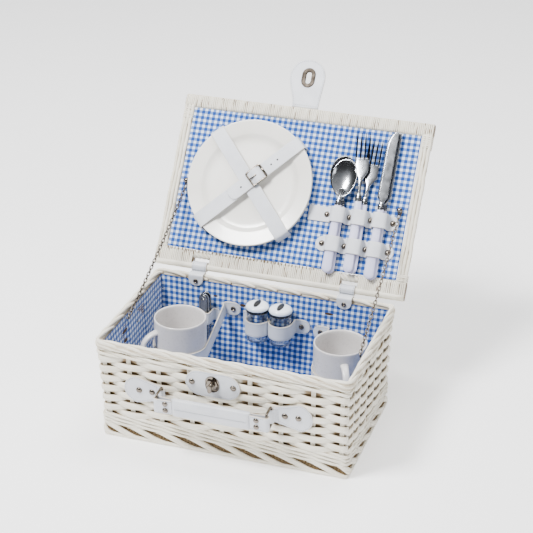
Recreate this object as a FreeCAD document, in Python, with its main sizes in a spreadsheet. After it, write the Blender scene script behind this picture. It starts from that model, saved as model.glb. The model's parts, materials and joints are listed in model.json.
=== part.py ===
"""Wicker picnic basket with a hinged lid, crockery, cutlery and a folding front handle.

The base stands on its floor at the origin: +X to the right, +Y to the back, +Z up.
The lid is stored open, leaning back against its two chains.
"""
import FreeCAD
import Part
import math
import os
import Sketcher

from FreeCAD import Placement, Rotation, Vector

# Driving dimensions, millimetres and degrees.
DIMENSIONS = {
    "rim_width": 386, "rim_depth": 252, "rim_top": 165, "rim_height": 17, "rim_thick": 9,
    "foot_width": 377, "foot_depth": 226, "foot_height": 20, "foot_thick": 12,
    "floor_thick": 8, "wall_thick": 6, "wall_inset": 3, "wall_foot_inset_x": 2, "wall_foot_inset_y": 1,
    "lining_thick": 1.2, "lining_gap": 0.5, "lining_foot_gap": 1.8, "lining_top": 158,
    "lid_width": 400, "lid_depth": 271, "lid_thick": 16, "lid_lean": 35,
    "lid_edge_y": 128.4, "lid_edge_z": 171.4, "rod_radius": 5.5, "rod_v": 2.43, "rod_w": 4,
    "lid_rear_border": 27, "lid_front_border": 20, "lid_side_border": 17, "slot_depth": 11,
    "slot_width": 27, "lid_recess": 3, "lid_lining_thick": 1.5, "lid_panel_thick": 8,
    "leather": 1.6, "thick_leather": 2, "surface_gap": 0.3,
    "hinge_strap_left_x": 124, "hinge_strap_right_x": 113, "hinge_strap_width": 24,
    "hinge_loop_clearance": 0.4, "hinge_inner_drop": 17, "hinge_outer_drop": 29,
    "rivet_radius": 4.2, "rivet_height": 2,
    "lock_x": 10.7, "lock_z": 126, "patch_width": 82, "patch_height": 42, "patch_rivet_span": 31,
    "lock_plate_width": 22, "lock_plate_height": 28, "lock_plate_thick": 3,
    "knob_post_radius": 2.8, "knob_reach": 12.8, "knob_bar_length": 13, "knob_bar_width": 6,
    "knob_bar_thick": 4,
    "handle_z": 93, "tab_radius": 23, "tab_end_half": 12, "ring_wire": 2, "ring_height": 30,
    "ring_inner_out": 6, "ring_arm": 21, "ring_left_x": 87, "ring_right_x": 77, "tab_reach": 37,
    "loop_half": 12, "grip_height": 29, "grip_thick": 11, "grip_end_gap": 23, "end_loop_thick": 8,
    "tongue_width": 42, "tongue_reach": 74.5, "tongue_head_radius": 28, "tongue_x": 10.7,
    "tongue_pivot_gap": 2.5, "tongue_roll": 1.6, "tongue_w": 8, "eyelet_reach": 47.5, "eyelet_width": 22,
    "eyelet_length": 32, "eyelet_gap": 0.1, "slot_hole_width": 9, "slot_hole_length": 20, "eyelet_thick": 4.4,
    "plate_radius": 99, "plate_height": 13, "plate_pitch": 4.5, "plate_wall": 3.5, "plate_well": 70,
    "plate_foot": 52, "plate_x": 66.6, "plate_v": 140.5, "plate_strap_width": 24,
    "strap_turn_plain": -48, "strap_turn_buckled": 46, "plate_strap_lift": 0.3,
    "buckle_width": 26, "buckle_length": 28, "buckle_wire": 3, "buckle_pin": 1, "buckle_lift": 2.4,
    "buckle_offset_along": 16, "prong_eye": 2.1, "prong_eye_hole": 1.3, "prong_eye_length": 4,
    "prong_width": 2.4, "prong_thick": 1.3, "prong_lift": 1.7,
    "cutlery_strap_width": 24, "upper_strap_v": 111, "lower_strap_v": 66,
    "upper_strap_start": 30, "lower_strap_start": 50, "cutlery_strap_end": 173, "loop_inner_half": 10.4,
    "loop_top": 13.6, "handle_v": 21, "fork_handle_v": 26, "fork_handle_end": 135, "handle_end_v": 126,
    "handle_wide": 16, "handle_narrow": 10,
    "handle_thick": 6, "cutlery_lift": 0.5, "pair_offset": 1.5, "spoon_x": 79, "fork_x": 112.5,
    "knife_x": 145, "spoon_top": 202, "spoon_bowl_length": 62,
    "spoon_bowl_width": 40, "fork_top": 241, "knife_top": 249,
    "stud_x": 171, "stud_v": 132, "stud_radius": 3.6, "anchor_x": 176.5, "anchor_y": -25, "anchor_z": 153,
    "chain_radius": 3, "mug_radius": 39.5, "mug_height": 88, "mug_wall": 4, "mug_top": 142,
    "mug_left_x": 114.7, "mug_left_y": 20.9, "mug_right_x": 134, "mug_right_y": 23.6,
    "mug_handle_ring": 24, "mug_handle_wire": 5.5, "mug_handle_z": 101, "mug_strap_z": 90,
    "mug_strap_height": 22, "mug_left_turn": 226, "mug_right_turn": 295,
    "shaker_y": 89.5, "shaker_left_x": 16, "shaker_right_x": 21, "jar_radius": 16.5, "jar_bottom": 86,
    "jar_top": 135, "jar_wall": 2, "cap_radius": 17.8, "cap_top": 147.5, "shaker_strap_z": 98,
    "shaker_strap_height": 24, "strap_wall_y": 107.2,
    "corkscrew_x": 103, "corkscrew_y": 97, "corkscrew_z": 66, "corkscrew_length": 81,
    "corkscrew_width": 17, "corkscrew_depth": 11, "lever_thick": 4, "lever_width": 11,
    "end_rivet_inset": 14, "end_rivet_spread": 5.5, "tab_rivet_pitch": 20, "end_loop_reach": 2,
    "strap_seat_gap": 0.1, "rim_back_gap": 0.2, "inner_rivet_drop": 9, "outer_rivet_drop": 22,
    "cutlery_end_rivet_gap": 5, "pair_gap": 0.4, "stem_half": 3, "stem_half_thick": 1.2,
    "spoon_stem_overlap": 50, "fork_neck_half": 3, "fork_head_half": 10.5, "fork_neck_end": 70,
    "fork_head_end": 40, "tine_pitch": 6, "tine_width": 3, "fork_half_thick": 1, "blade_half": 8,
    "blade_half_thick": 0.8, "wrap_gap": 0.4, "mug_strap_tail": 26, "mug_rivet_gap": 15,
    "shaker_tail_left": 10, "shaker_tail_right": 14, "shaker_rivet_gap": 12, "cap_seat": 0.2,
    "corkscrew_strap_height": 20, "corkscrew_strap_tail": 14, "corkscrew_gap": 0.5, "lever_start": 8,
}
SHEET = "Sizes"


class Size:
    """A length that knows both its value and the spreadsheet expression it comes from."""

    def __init__(self, value, text):
        self.value = float(value)
        self.text = text

    def _join(self, other, sign, value):
        other = as_size(other)
        return Size(value(self.value, other.value), "(%s %s %s)" % (self.text, sign, other.text))

    def __add__(self, other):
        return self._join(other, "+", lambda a, b: a + b)

    def __radd__(self, other):
        return as_size(other) + self

    def __sub__(self, other):
        return self._join(other, "-", lambda a, b: a - b)

    def __rsub__(self, other):
        return as_size(other) - self

    def __mul__(self, other):
        return self._join(other, "*", lambda a, b: a * b)

    def __rmul__(self, other):
        return as_size(other) * self

    def __truediv__(self, other):
        return self._join(other, "/", lambda a, b: a / b)

    def __neg__(self):
        return Size(-self.value, "(-1 * %s)" % self.text)


def as_size(number):
    if isinstance(number, Size):
        return number
    return Size(number, "%.6g" % number if number >= 0 else "(%.6g)" % number)


doc = FreeCAD.newDocument("PicnicBasket")
sheet = doc.addObject("Spreadsheet::Sheet", SHEET)


class Dimensions:
    """Every driving dimension as a Size, read by its alias."""


def fill_sheet():
    """Write each dimension and its alias into the sheet, and return them as sizes."""
    sizes = Dimensions()
    for row, (alias, value) in enumerate(DIMENSIONS.items(), start=1):
        sheet.set("A%d" % row, alias)
        sheet.set("B%d" % row, str(value))
        sheet.setAlias("B%d" % row, alias)
        setattr(sizes, alias, Size(value, "%s.%s" % (SHEET, alias)))
    doc.recompute()
    return sizes


d = fill_sheet()
nodes = []

# ---------------------------------------------------------------- building blocks

TO_X = Rotation(Vector(0, 1, 0), 90)      # turns a piece built along Z to lie along X
TO_Y = Rotation(Vector(1, 0, 0), -90)     # turns a piece built along Z to lie along Y
UPRIGHT = Rotation(Vector(1, 0, 0), 90)   # turns a piece built along Y to stand along Z
FLAT = Rotation()


def bind(item, prop, size):
    """Bind one property to a sheet expression."""
    item.setExpression(prop, as_size(size).text)


def put(item, x=0, y=0, z=0, rotation=FLAT):
    """Place an item, with its position bound to the sheet."""
    x, y, z = as_size(x), as_size(y), as_size(z)
    item.Placement = Placement(Vector(x.value, y.value, z.value), rotation)
    for axis, size in (("x", x), ("y", y), ("z", z)):
        bind(item, ".Placement.Base.%s" % axis, size)
    return item


def box(x0, x1, y0, y1, z0, z1):
    """A box between two corners."""
    item = doc.addObject("Part::Box", "Block")
    bind(item, "Length", x1 - as_size(x0))
    bind(item, "Width", y1 - as_size(y0))
    bind(item, "Height", z1 - as_size(z0))
    return put(item, x0, y0, z0)


def rod(radius, length, x=0, y=0, z=0, rotation=FLAT):
    """A round bar that starts at a point and runs along Z, or along X or Y if turned."""
    item = doc.addObject("Part::Cylinder", "Rod")
    bind(item, "Radius", radius)
    bind(item, "Height", length)
    return put(item, x, y, z, rotation)


def taper(low_x, low_y, high_x, high_y, z0, z1):
    """A block whose bottom and top are different rectangles, each given as (start, end) pairs."""
    item = doc.addObject("Part::Wedge", "Taper")
    bind(item, "Xmin", low_x[0])
    bind(item, "Xmax", low_x[1])
    bind(item, "Zmin", -as_size(low_y[1]))
    bind(item, "Zmax", -as_size(low_y[0]))
    bind(item, "X2min", high_x[0])
    bind(item, "X2max", high_x[1])
    bind(item, "Z2min", -as_size(high_y[1]))
    bind(item, "Z2max", -as_size(high_y[0]))
    bind(item, "Ymin", 0)
    bind(item, "Ymax", z1 - as_size(z0))
    return put(item, 0, 0, z0, UPRIGHT)


def fuse(*items):
    joined = doc.addObject("Part::MultiFuse", "Joined")
    joined.Shapes = list(items)
    return joined


def cut(base, tool):
    item = doc.addObject("Part::Cut", "Cut")
    item.Base = base
    item.Tool = tool
    return item


def rounded(item, radius, edges):
    """Round the given edge numbers of an item."""
    doc.recompute()
    smooth = doc.addObject("Part::Fillet", "Rounded")
    smooth.Base = item
    smooth.Edges = [(number, radius, radius) for number in edges]
    return smooth


def node(label, items, frame=None):
    """Name a finished sub-part, made of one or more separate solids, and place it in a frame."""
    group = doc.addObject("Part::Compound", label)
    group.Label = label
    group.Links = list(items) if isinstance(items, (list, tuple)) else [items]
    group.Placement = frame or Placement()
    nodes.append(group)
    return group


def spun(points, name="Turned"):
    """A body turned about Z from a closed outline of (radius, height) corners."""
    body = doc.addObject("PartDesign::Body", name)
    sketch = body.newObject("Sketcher::SketchObject", name + "Outline")
    plane = [f for f in body.Origin.OriginFeatures if f.Role == "XZ_Plane"][0]
    sketch.AttachmentSupport = (plane, "")
    sketch.MapMode = "FlatFace"
    corners = [(as_size(x), as_size(y)) for x, y in points]
    count = len(corners)
    for i in range(count):
        start, end = corners[i], corners[(i + 1) % count]
        sketch.addGeometry(Part.LineSegment(
            Vector(start[0].value, start[1].value, 0), Vector(end[0].value, end[1].value, 0)))
    for i in range(count):
        sketch.addConstraint(Sketcher.Constraint("Coincident", i, 2, (i + 1) % count, 1))
    for i, (x, y) in enumerate(corners):
        fix_corner(sketch, i, "DistanceX", x, -2)
        fix_corner(sketch, i, "DistanceY", y, -1)
    turn = body.newObject("PartDesign::Revolution", name + "Turn")
    turn.Profile = sketch
    turn.ReferenceAxis = (sketch, ["V_Axis"])
    turn.Angle = 360
    body.Tip = turn
    return body


def fix_corner(sketch, line, kind, size, axis):
    """Hold one corner at its bound distance from the origin, or on the axis when it is zero."""
    if abs(size.value) < 1e-9:
        sketch.addConstraint(Sketcher.Constraint("PointOnObject", line, 1, axis))
        return
    number = sketch.addConstraint(Sketcher.Constraint(kind, -1, 1, line, 1, size.value))
    sketch.setExpression("Constraints[%d]" % number, size.text)


def rivet(x, y, z, rotation=FLAT):
    """A domed rivet head standing on a face, pointing along Z unless turned."""
    dome = doc.addObject("Part::Cone", "Rivet")
    bind(dome, "Radius1", d.rivet_radius)
    bind(dome, "Radius2", d.rivet_radius * 0.55)
    bind(dome, "Height", d.rivet_height)
    return put(dome, x, y, z, rotation)


def stadium(width, height, thick, x, y, z):
    """A flat piece with two straight sides and round left and right ends, lying in XY."""
    radius = height / 2
    half = width / 2 - radius
    middle = box(x - half, x + half, y - radius, y + radius, z, z + thick)
    left = rod(radius, thick, x - half, y, z)
    right = rod(radius, thick, x + half, y, z)
    return fuse(middle, left, right)


def upright_stadium(width, height, thick, x, y, z):
    """The same piece with its round ends at the top and the bottom."""
    radius = width / 2
    half = height / 2 - radius
    middle = box(x - radius, x + radius, y - half, y + half, z, z + thick)
    low = rod(radius, thick, x, y - half, z)
    high = rod(radius, thick, x, y + half, z)
    return fuse(middle, low, high)


# ---------------------------------------------------------------- frames

rim_x, rim_y = d.rim_width / 2, d.rim_depth / 2
rim_bottom = d.rim_top - d.rim_height
wall_top_x, wall_top_y = rim_x - d.wall_inset, rim_y - d.wall_inset
wall_low_x = d.foot_width / 2 - d.wall_foot_inset_x
wall_low_y = d.foot_depth / 2 - d.wall_foot_inset_y
wall_slope = (wall_top_y.value - wall_low_y.value) / (rim_bottom.value - d.foot_height.value)
wall_lean = math.degrees(math.atan(wall_slope))

# On the front wall: local x to the right, y up the wall, z straight out of it.
FRONT = Placement(Vector(0, -(wall_low_y.value - wall_slope * d.foot_height.value), 0),
                  Rotation(Vector(1, 0, 0), 90 + wall_lean))
# In the lid: local x to the right, y from the hinge edge to the front edge, z out of the inner face.
LID = Placement(Vector(0, d.lid_edge_y.value, d.lid_edge_z.value),
                Rotation(Vector(1, 0, 0), 90 - d.lid_lean.value))


# ---------------------------------------------------------------- base

def make_floor():
    node("floor_panel", box(d.foot_thick - d.foot_width / 2, d.foot_width / 2 - d.foot_thick,
                            d.foot_thick - d.foot_depth / 2, d.foot_depth / 2 - d.foot_thick,
                            0, d.floor_thick))


def frame_of_four(outer_x, outer_y, thick, z0, z1):
    """Front, back, left and right bars of a rectangular border."""
    return [
        box(-outer_x, outer_x, -outer_y, thick - outer_y, z0, z1),
        box(-outer_x, outer_x, outer_y - thick, outer_y, z0, z1),
        box(-outer_x, thick - outer_x, thick - outer_y, outer_y - thick, z0, z1),
        box(outer_x - thick, outer_x, thick - outer_y, outer_y - thick, z0, z1),
    ]


def make_borders():
    node("foot_border", frame_of_four(d.foot_width / 2, d.foot_depth / 2, d.foot_thick, 0, d.foot_height))
    node("top_border", frame_of_four(rim_x, rim_y, d.rim_thick, rim_bottom, d.rim_top))


def make_walls():
    """Four woven panels that lean outwards from the foot to the rim."""
    thick = d.wall_thick
    z0, z1 = d.foot_height, rim_bottom
    full_low, full_high = (-wall_low_x, wall_low_x), (-wall_top_x, wall_top_x)
    node("wall_front", taper(full_low, (-wall_low_y, thick - wall_low_y),
                             full_high, (-wall_top_y, thick - wall_top_y), z0, z1))
    node("wall_back", taper(full_low, (wall_low_y - thick, wall_low_y),
                            full_high, (wall_top_y - thick, wall_top_y), z0, z1))
    side_low = (thick - wall_low_y, wall_low_y - thick)
    side_high = (thick - wall_top_y, wall_top_y - thick)
    node("wall_left", taper((-wall_low_x, thick - wall_low_x), side_low,
                            (-wall_top_x, thick - wall_top_x), side_high, z0, z1))
    node("wall_right", taper((wall_low_x - thick, wall_low_x), side_low,
                             (wall_top_x - thick, wall_top_x), side_high, z0, z1))


def make_base_lining():
    """A fitted cotton lining: a thin tapered box, open at the top."""
    gap, skin = d.lining_gap, d.lining_thick
    low_x = d.foot_width / 2 - d.foot_thick - d.lining_foot_gap
    low_y = d.foot_depth / 2 - d.foot_thick - d.lining_foot_gap
    top_x, top_y = rim_x - d.rim_thick - gap, rim_y - d.rim_thick - gap
    z0 = d.floor_thick + d.surface_gap
    outer = taper((-low_x, low_x), (-low_y, low_y), (-top_x, top_x), (-top_y, top_y), z0, d.lining_top)
    in_low_x, in_low_y = low_x - skin, low_y - skin
    in_top_x, in_top_y = top_x - skin, top_y - skin
    inner = taper((-in_low_x, in_low_x), (-in_low_y, in_low_y),
                  (-in_top_x, in_top_x), (-in_top_y, in_top_y), z0 + skin, d.lining_top + skin)
    node("base_lining", cut(outer, inner))


# ---------------------------------------------------------------- front lock and handle

leather_top = d.surface_gap + d.thick_leather


def make_lock():
    x, z = -d.lock_x, d.lock_z
    node("lock_patch", stadium(d.patch_width, d.patch_height, d.thick_leather,
                               x, z - 2, d.surface_gap), FRONT)
    node("lock_plate", upright_stadium(d.lock_plate_width, d.lock_plate_height, d.lock_plate_thick,
                                       x, z, leather_top), FRONT)
    post_start = leather_top + d.lock_plate_thick + d.surface_gap
    post = rod(d.knob_post_radius, d.knob_reach - post_start + 0.5, x, z, post_start)
    bar = upright_stadium(d.knob_bar_width, d.knob_bar_length, d.knob_bar_thick, x, z, d.knob_reach)
    node("lock_knob", fuse(post, bar), FRONT)


def loop_tube(x, out, clearance):
    """A leather tube round an upright ring bar, with its hole."""
    low = d.handle_z - d.loop_half
    tall = d.loop_half * 2
    tube = rod(d.ring_wire + clearance + d.thick_leather, tall, x, low, out, TO_Y)
    hole = rod(d.ring_wire + clearance, tall + 4, x, low - 2, out, TO_Y)
    return tube, hole


def make_handle_tab(label, ring_x, side):
    """A teardrop leather tab whose narrow end wraps the inner bar of a ring. side is -1 or 1."""
    centre = ring_x + side * d.tab_reach
    z = d.handle_z
    disc = rod(d.tab_radius, d.thick_leather, centre, z, d.surface_gap)
    near, far = sorted((ring_x, centre), key=lambda size: size.value)
    wide, narrow = d.tab_radius * 0.94, d.tab_end_half
    low_half, high_half = (wide, narrow) if side < 0 else (narrow, wide)
    neck = doc.addObject("Part::Wedge", "Neck")
    for prop, size in (("Xmin", -low_half), ("Xmax", low_half), ("X2min", -high_half), ("X2max", high_half),
                       ("Zmin", as_size(0)), ("Zmax", d.thick_leather), ("Z2min", as_size(0)),
                       ("Z2max", d.thick_leather), ("Ymin", as_size(0)), ("Ymax", far - near)):
        bind(neck, prop, size)
    put(neck, near, z, d.surface_gap, Rotation(Vector(0, 0, 1), -90))
    tube, hole = loop_tube(ring_x, d.ring_inner_out, d.surface_gap)
    node(label, cut(fuse(disc, neck, tube), hole), FRONT)


def make_ring(label, ring_x):
    """A rectangular wire ring that stands straight out from the wall."""
    z, wire, half = d.handle_z, d.ring_wire, d.ring_height / 2
    near, far = d.ring_inner_out, d.ring_inner_out + d.ring_arm
    tall = d.ring_height + wire * 2
    bars = [rod(wire, tall, ring_x, z - half - wire, out, TO_Y) for out in (near, far)]
    rails = [rod(wire, d.ring_arm, ring_x, z + sign * half, near) for sign in (-1, 1)]
    node(label, fuse(*(bars + rails)), FRONT)


def make_grip():
    out = d.ring_inner_out + d.ring_arm
    z, gap = d.handle_z, d.grip_end_gap
    left, right = gap - d.ring_left_x, d.ring_right_x - gap
    pad = box(left, right, z - d.grip_height / 2, z + d.grip_height / 2,
              out - d.grip_thick / 2, out + d.grip_thick / 2)
    node("handle_grip", rounded(pad, 3.5, (9, 10, 11, 12)), FRONT)
    loops = []
    for ring_x, start, end in ((-d.ring_left_x, d.end_loop_reach - d.ring_left_x, left),
                               (d.ring_right_x, right, d.ring_right_x - d.end_loop_reach)):
        tube, hole = loop_tube(ring_x, out, d.surface_gap)
        block = box(start, end, z - d.loop_half, z + d.loop_half,
                    out - d.end_loop_thick / 2, out + d.end_loop_thick / 2)
        loops.append(cut(fuse(block, tube), hole))
    node("handle_end_loops", loops, FRONT)
    face = out + d.end_loop_thick / 2
    ends = (d.end_rivet_inset - d.ring_left_x, d.ring_right_x - d.end_rivet_inset)
    lifts = (-d.end_rivet_spread, d.end_rivet_spread)
    node("handle_end_rivets", [rivet(x, z + lift, face) for x in ends for lift in lifts], FRONT)


def make_front_rivets():
    """Two rivets in each handle tab and two in the lock patch."""
    tab_left, tab_right = -d.ring_left_x - d.tab_reach, d.ring_right_x + d.tab_reach
    spots = [(tab_left, d.handle_z), (tab_left + d.tab_rivet_pitch, d.handle_z),
             (tab_right + 1 - d.tab_rivet_pitch, d.handle_z),
             (tab_right + 2, d.handle_z), (-d.lock_x - d.patch_rivet_span, d.lock_z - 1),
             (d.patch_rivet_span - d.lock_x, d.lock_z - 1)]
    node("front_rivets", [rivet(x, z, leather_top) for x, z in spots], FRONT)


# ---------------------------------------------------------------- hinge straps and chain fittings

# The lid turns about the centre of its rear rod.
lean = math.radians(d.lid_lean.value)
axis_y = d.lid_edge_y + d.rod_v * math.sin(lean) + d.rod_w * math.cos(lean)
axis_z = d.lid_edge_z + d.rod_v * math.cos(lean) - d.rod_w * math.sin(lean)


def make_hinge_straps():
    """Each strap grips the back rim and loops round the lid's rear rod."""
    inner_radius = d.rod_radius + d.hinge_loop_clearance
    outer_radius = inner_radius + d.leather
    front_y = rim_y - d.rim_thick - 5
    straps, rivets = [], []
    for x in (-d.hinge_strap_left_x, d.hinge_strap_right_x):
        x0, x1 = x - d.hinge_strap_width / 2, x + d.hinge_strap_width / 2
        base_z = d.rim_top + d.strap_seat_gap
        ring = rod(outer_radius, d.hinge_strap_width, x0, axis_y, axis_z, TO_X)
        over = box(x0, x1, front_y, axis_y - 4.6, base_z, base_z + d.leather)
        inside = box(x0, x1, front_y, front_y + d.leather, base_z - d.hinge_inner_drop, base_z + d.leather)
        behind = box(x0, x1, rim_y + d.rim_back_gap, rim_y + d.rim_back_gap + d.leather,
                     base_z - d.hinge_outer_drop, base_z + d.leather)
        hole = rod(inner_radius, d.hinge_strap_width + 4, x0 - 2, axis_y, axis_z, TO_X)
        straps.append(cut(fuse(ring, over, inside, behind), hole))
        rivets.append(rivet(x, front_y, base_z - d.inner_rivet_drop, UPRIGHT))
        rivets.append(rivet(x, rim_y + d.rim_back_gap + d.leather, base_z - d.outer_rivet_drop, TO_Y))
    node("hinge_straps", straps)
    node("hinge_strap_rivets", rivets)


def make_chain_fittings():
    """An eye inside each side rim with its rivet head outside, and a stud on each side of the lid."""
    pieces = []
    for side in (-1, 1):
        turn = TO_X if side > 0 else Rotation(Vector(0, 1, 0), -90)
        pieces.append(rod(3, 4, side * (d.anchor_x + 1), d.anchor_y, d.anchor_z, turn))
        pieces.append(rivet(side * (wall_top_x + 0.2), d.anchor_y, rim_bottom - 5, turn))
    node("chain_anchors", pieces)
    face = -d.lid_recess
    node("chain_studs", [rod(d.stud_radius, 6, side * d.stud_x, d.stud_v, face) for side in (-1, 1)], LID)


def make_chains():
    """The two lid chains, as plain bars of their outer size from the eye to the stud."""
    bars = []
    for side in (-1, 1):
        low = Vector(side * d.anchor_x.value, d.anchor_y.value, d.anchor_z.value + 5)
        high = LID.multVec(Vector(side * d.stud_x.value, d.stud_v.value - d.stud_radius.value - 4.5, 1.5))
        run = high - low
        bar = doc.addObject("Part::Cylinder", "ChainBar")
        bind(bar, "Radius", d.chain_radius)
        bar.Height = run.Length
        bar.Placement = Placement(low, Rotation(Vector(0, 0, 1), run))
        bars.append(bar)
    node("lid_chains", bars)


# ---------------------------------------------------------------- lid

def make_lid():
    half, depth, thick = d.lid_width / 2, d.lid_depth, d.lid_thick
    front_v = depth - d.lid_front_border
    inner_half = half - d.lid_side_border
    rear = [rod(d.rod_radius, d.lid_width, -half, d.rod_v, -d.rod_w, TO_X),
            box(-half, half, d.slot_depth, d.lid_rear_border, -thick, 0)]
    strap_xs = (-d.hinge_strap_left_x, d.hinge_strap_right_x)
    starts = [-half] + [x + d.slot_width / 2 for x in strap_xs]
    ends = [x - d.slot_width / 2 for x in strap_xs] + [half]
    for start, end in zip(starts, ends):
        rear.append(box(start, end, 0, d.slot_depth, -thick, 0))
    node("lid_border_rear", fuse(*rear), LID)
    node("lid_border_front", box(-half, half, front_v, depth, -thick, 0), LID)
    node("lid_side_rods", [box(-half, -inner_half, d.lid_rear_border, front_v, -thick, 0),
                           box(inner_half, half, d.lid_rear_border, front_v, -thick, 0)], LID)
    lining_low = -d.lid_recess - d.lid_lining_thick
    node("lid_panel", box(-inner_half, inner_half, d.lid_rear_border, front_v,
                          lining_low - d.lid_panel_thick, lining_low), LID)
    node("lid_lining", box(-inner_half, inner_half, d.lid_rear_border, front_v,
                           lining_low, -d.lid_recess), LID)


def make_tongue():
    """The closing tab at the lid's front edge, with a slotted metal eyelet."""
    x, start = -d.tongue_x, d.lid_depth + d.tongue_pivot_gap
    thick, w = d.thick_leather, -d.tongue_w - d.thick_leather / 2
    reach = d.tongue_reach - d.tongue_head_radius
    neck = box(x - d.tongue_width / 2, x + d.tongue_width / 2, start, start + reach, w, w + thick)
    head = rod(d.tongue_head_radius, thick, x, start + reach, w)
    roll = rod(d.tongue_roll, d.tongue_width, x - d.tongue_width / 2, start, -d.tongue_w, TO_X)
    centre = start + d.eyelet_reach
    window = upright_stadium(d.eyelet_width + d.eyelet_gap, d.eyelet_length + d.eyelet_gap, thick + 2,
                             x, centre, w - 1)
    node("tongue_strap", cut(fuse(neck, head, roll), window), LID)
    low = -d.tongue_w - d.eyelet_thick / 2
    plate = upright_stadium(d.eyelet_width, d.eyelet_length, d.eyelet_thick, x, centre, low)
    slot = upright_stadium(d.slot_hole_width, d.slot_hole_length, d.eyelet_thick + 2, x, centre, low - 1)
    node("tongue_eyelet", cut(plate, slot), LID)


# ---------------------------------------------------------------- plates and their straps

def make_plates():
    """Two dinner plates, one nested in the other, face outwards."""
    rim, well, foot = d.plate_radius, d.plate_well, d.plate_foot
    wall, tall = d.plate_wall, d.plate_height
    for number, label in enumerate(("plate_back", "plate_front")):
        w = -d.lid_recess + d.surface_gap + number * d.plate_pitch
        outline = [(0, 0), (foot, 0), (well, wall * 0.6), (rim, tall - wall * 0.7), (rim, tall),
                   (rim - 3, tall), (well, wall * 1.4), (foot, wall), (0, wall)]
        plate = put(spun(outline, "Plate"), -d.plate_x, d.plate_v, w)
        node(label, plate, LID)


plate_top = d.plate_height + d.plate_pitch - d.lid_recess + d.surface_gap


def strap_over_plates(lift):
    """A flat strap across the plates' rims, with a leg down to the lining at each end."""
    half, reach = d.plate_strap_width / 2, d.plate_radius + 3
    low = plate_top + lift
    leg_low = -d.lid_recess + d.surface_gap
    top = box(-reach, reach, -half, half, low, low + d.leather)
    left = box(-reach, d.leather - reach, -half, half, leg_low, low + d.leather)
    right = box(reach - d.leather, reach, -half, half, leg_low, low + d.leather)
    return fuse(top, left, right)


def on_plates(item, turn):
    """Turn a piece about the plates' centre."""
    return put(item, -d.plate_x, d.plate_v, 0, Rotation(Vector(0, 0, 1), turn.value))


def make_plate_straps():
    lift = d.plate_strap_lift
    node("plate_strap_plain", on_plates(strap_over_plates(lift), d.strap_turn_plain), LID)
    upper = lift + d.leather + 0.2
    node("plate_strap_buckled", on_plates(strap_over_plates(upper), d.strap_turn_buckled), LID)
    make_buckle(plate_top + upper + d.leather + d.buckle_lift)


def make_buckle(w):
    """A square frame with a round cross pin, and a prong that turns on the pin by its eye."""
    half_wide, half_long, wire = d.buckle_width / 2, d.buckle_length / 2, d.buckle_wire
    at = d.buckle_offset_along
    rim = box(at - half_long, at + half_long, -half_wide, half_wide, w - wire / 2, w + wire / 2)
    window = box(at - half_long + wire, at + half_long - wire, wire - half_wide, half_wide - wire,
                 w - wire, w + wire)
    pin = rod(d.buckle_pin, d.buckle_width - wire, at, (wire - d.buckle_width) / 2, w, TO_Y)
    node("buckle_frame", on_plates(fuse(cut(rim, window), pin), d.strap_turn_buckled), LID)
    half_eye = d.prong_eye_length / 2
    eye = rod(d.prong_eye, d.prong_eye_length, at, -half_eye, w, TO_Y)
    hole = rod(d.prong_eye_hole, d.prong_eye_length * 2, at, -d.prong_eye_length, w, TO_Y)
    tongue = box(at - half_long, at, -d.prong_width / 2, d.prong_width / 2,
                 w + d.prong_lift, w + d.prong_lift + d.prong_thick)
    node("buckle_prong", on_plates(fuse(cut(eye, hole), tongue), d.strap_turn_buckled), LID)


# ---------------------------------------------------------------- cutlery

def make_cutlery_strap(label, v, start):
    """A strap with three raised loops, one over each pair of cutlery."""
    half, inner = d.cutlery_strap_width / 2, d.loop_inner_half
    low = d.strap_seat_gap - d.lid_recess
    flat_top, top = low + d.leather, d.loop_top
    outer = inner + d.leather
    pieces = []
    edges = [start]
    for x in (d.spoon_x, d.fork_x, d.knife_x):
        edges += [x - inner, x + inner]
        pieces.append(box(x - outer, x + outer, v - half, v + half, top, top + d.leather))
        for a, b in ((x - outer, x - inner), (x + inner, x + outer)):
            pieces.append(box(a, b, v - half, v + half, low, top + d.leather))
    edges.append(d.cutlery_strap_end)
    for a, b in zip(edges[0::2], edges[1::2]):
        pieces.append(box(a, b, v - half, v + half, low, flat_top))
    node(label, fuse(*pieces), LID)


def make_cutlery_rivets():
    w = d.strap_seat_gap - d.lid_recess + d.leather
    outer = d.loop_inner_half + d.leather
    end_gap = d.cutlery_end_rivet_gap
    spots = [d.spoon_x - outer - end_gap, (d.spoon_x + d.fork_x) / 2, (d.fork_x + d.knife_x) / 2,
             d.knife_x + outer + end_gap + 1]
    node("cutlery_rivets", [rivet(x, v, w) for v in (d.upper_strap_v, d.lower_strap_v) for x in spots], LID)


def pair_levels():
    """The height of the rear and the front piece of each pair, and their sideways shift."""
    low = d.cutlery_lift
    return ((low, d.pair_offset), (low + d.handle_thick + d.pair_gap, -d.pair_offset))


def plastic_handle(x, start, end, w):
    """A flat handle, wide at its end and narrower towards the metal."""
    item = taper((x - d.handle_wide / 2, x + d.handle_wide / 2), (-d.handle_thick, as_size(0)),
                 (x - d.handle_narrow / 2, x + d.handle_narrow / 2), (-d.handle_thick, as_size(0)),
                 0, end - start)
    return put(item, 0, start, w, FLAT)


def handle_pair(x, start, end):
    return [plastic_handle(x + shift, start, end, w) for w, shift in pair_levels()]


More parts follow.
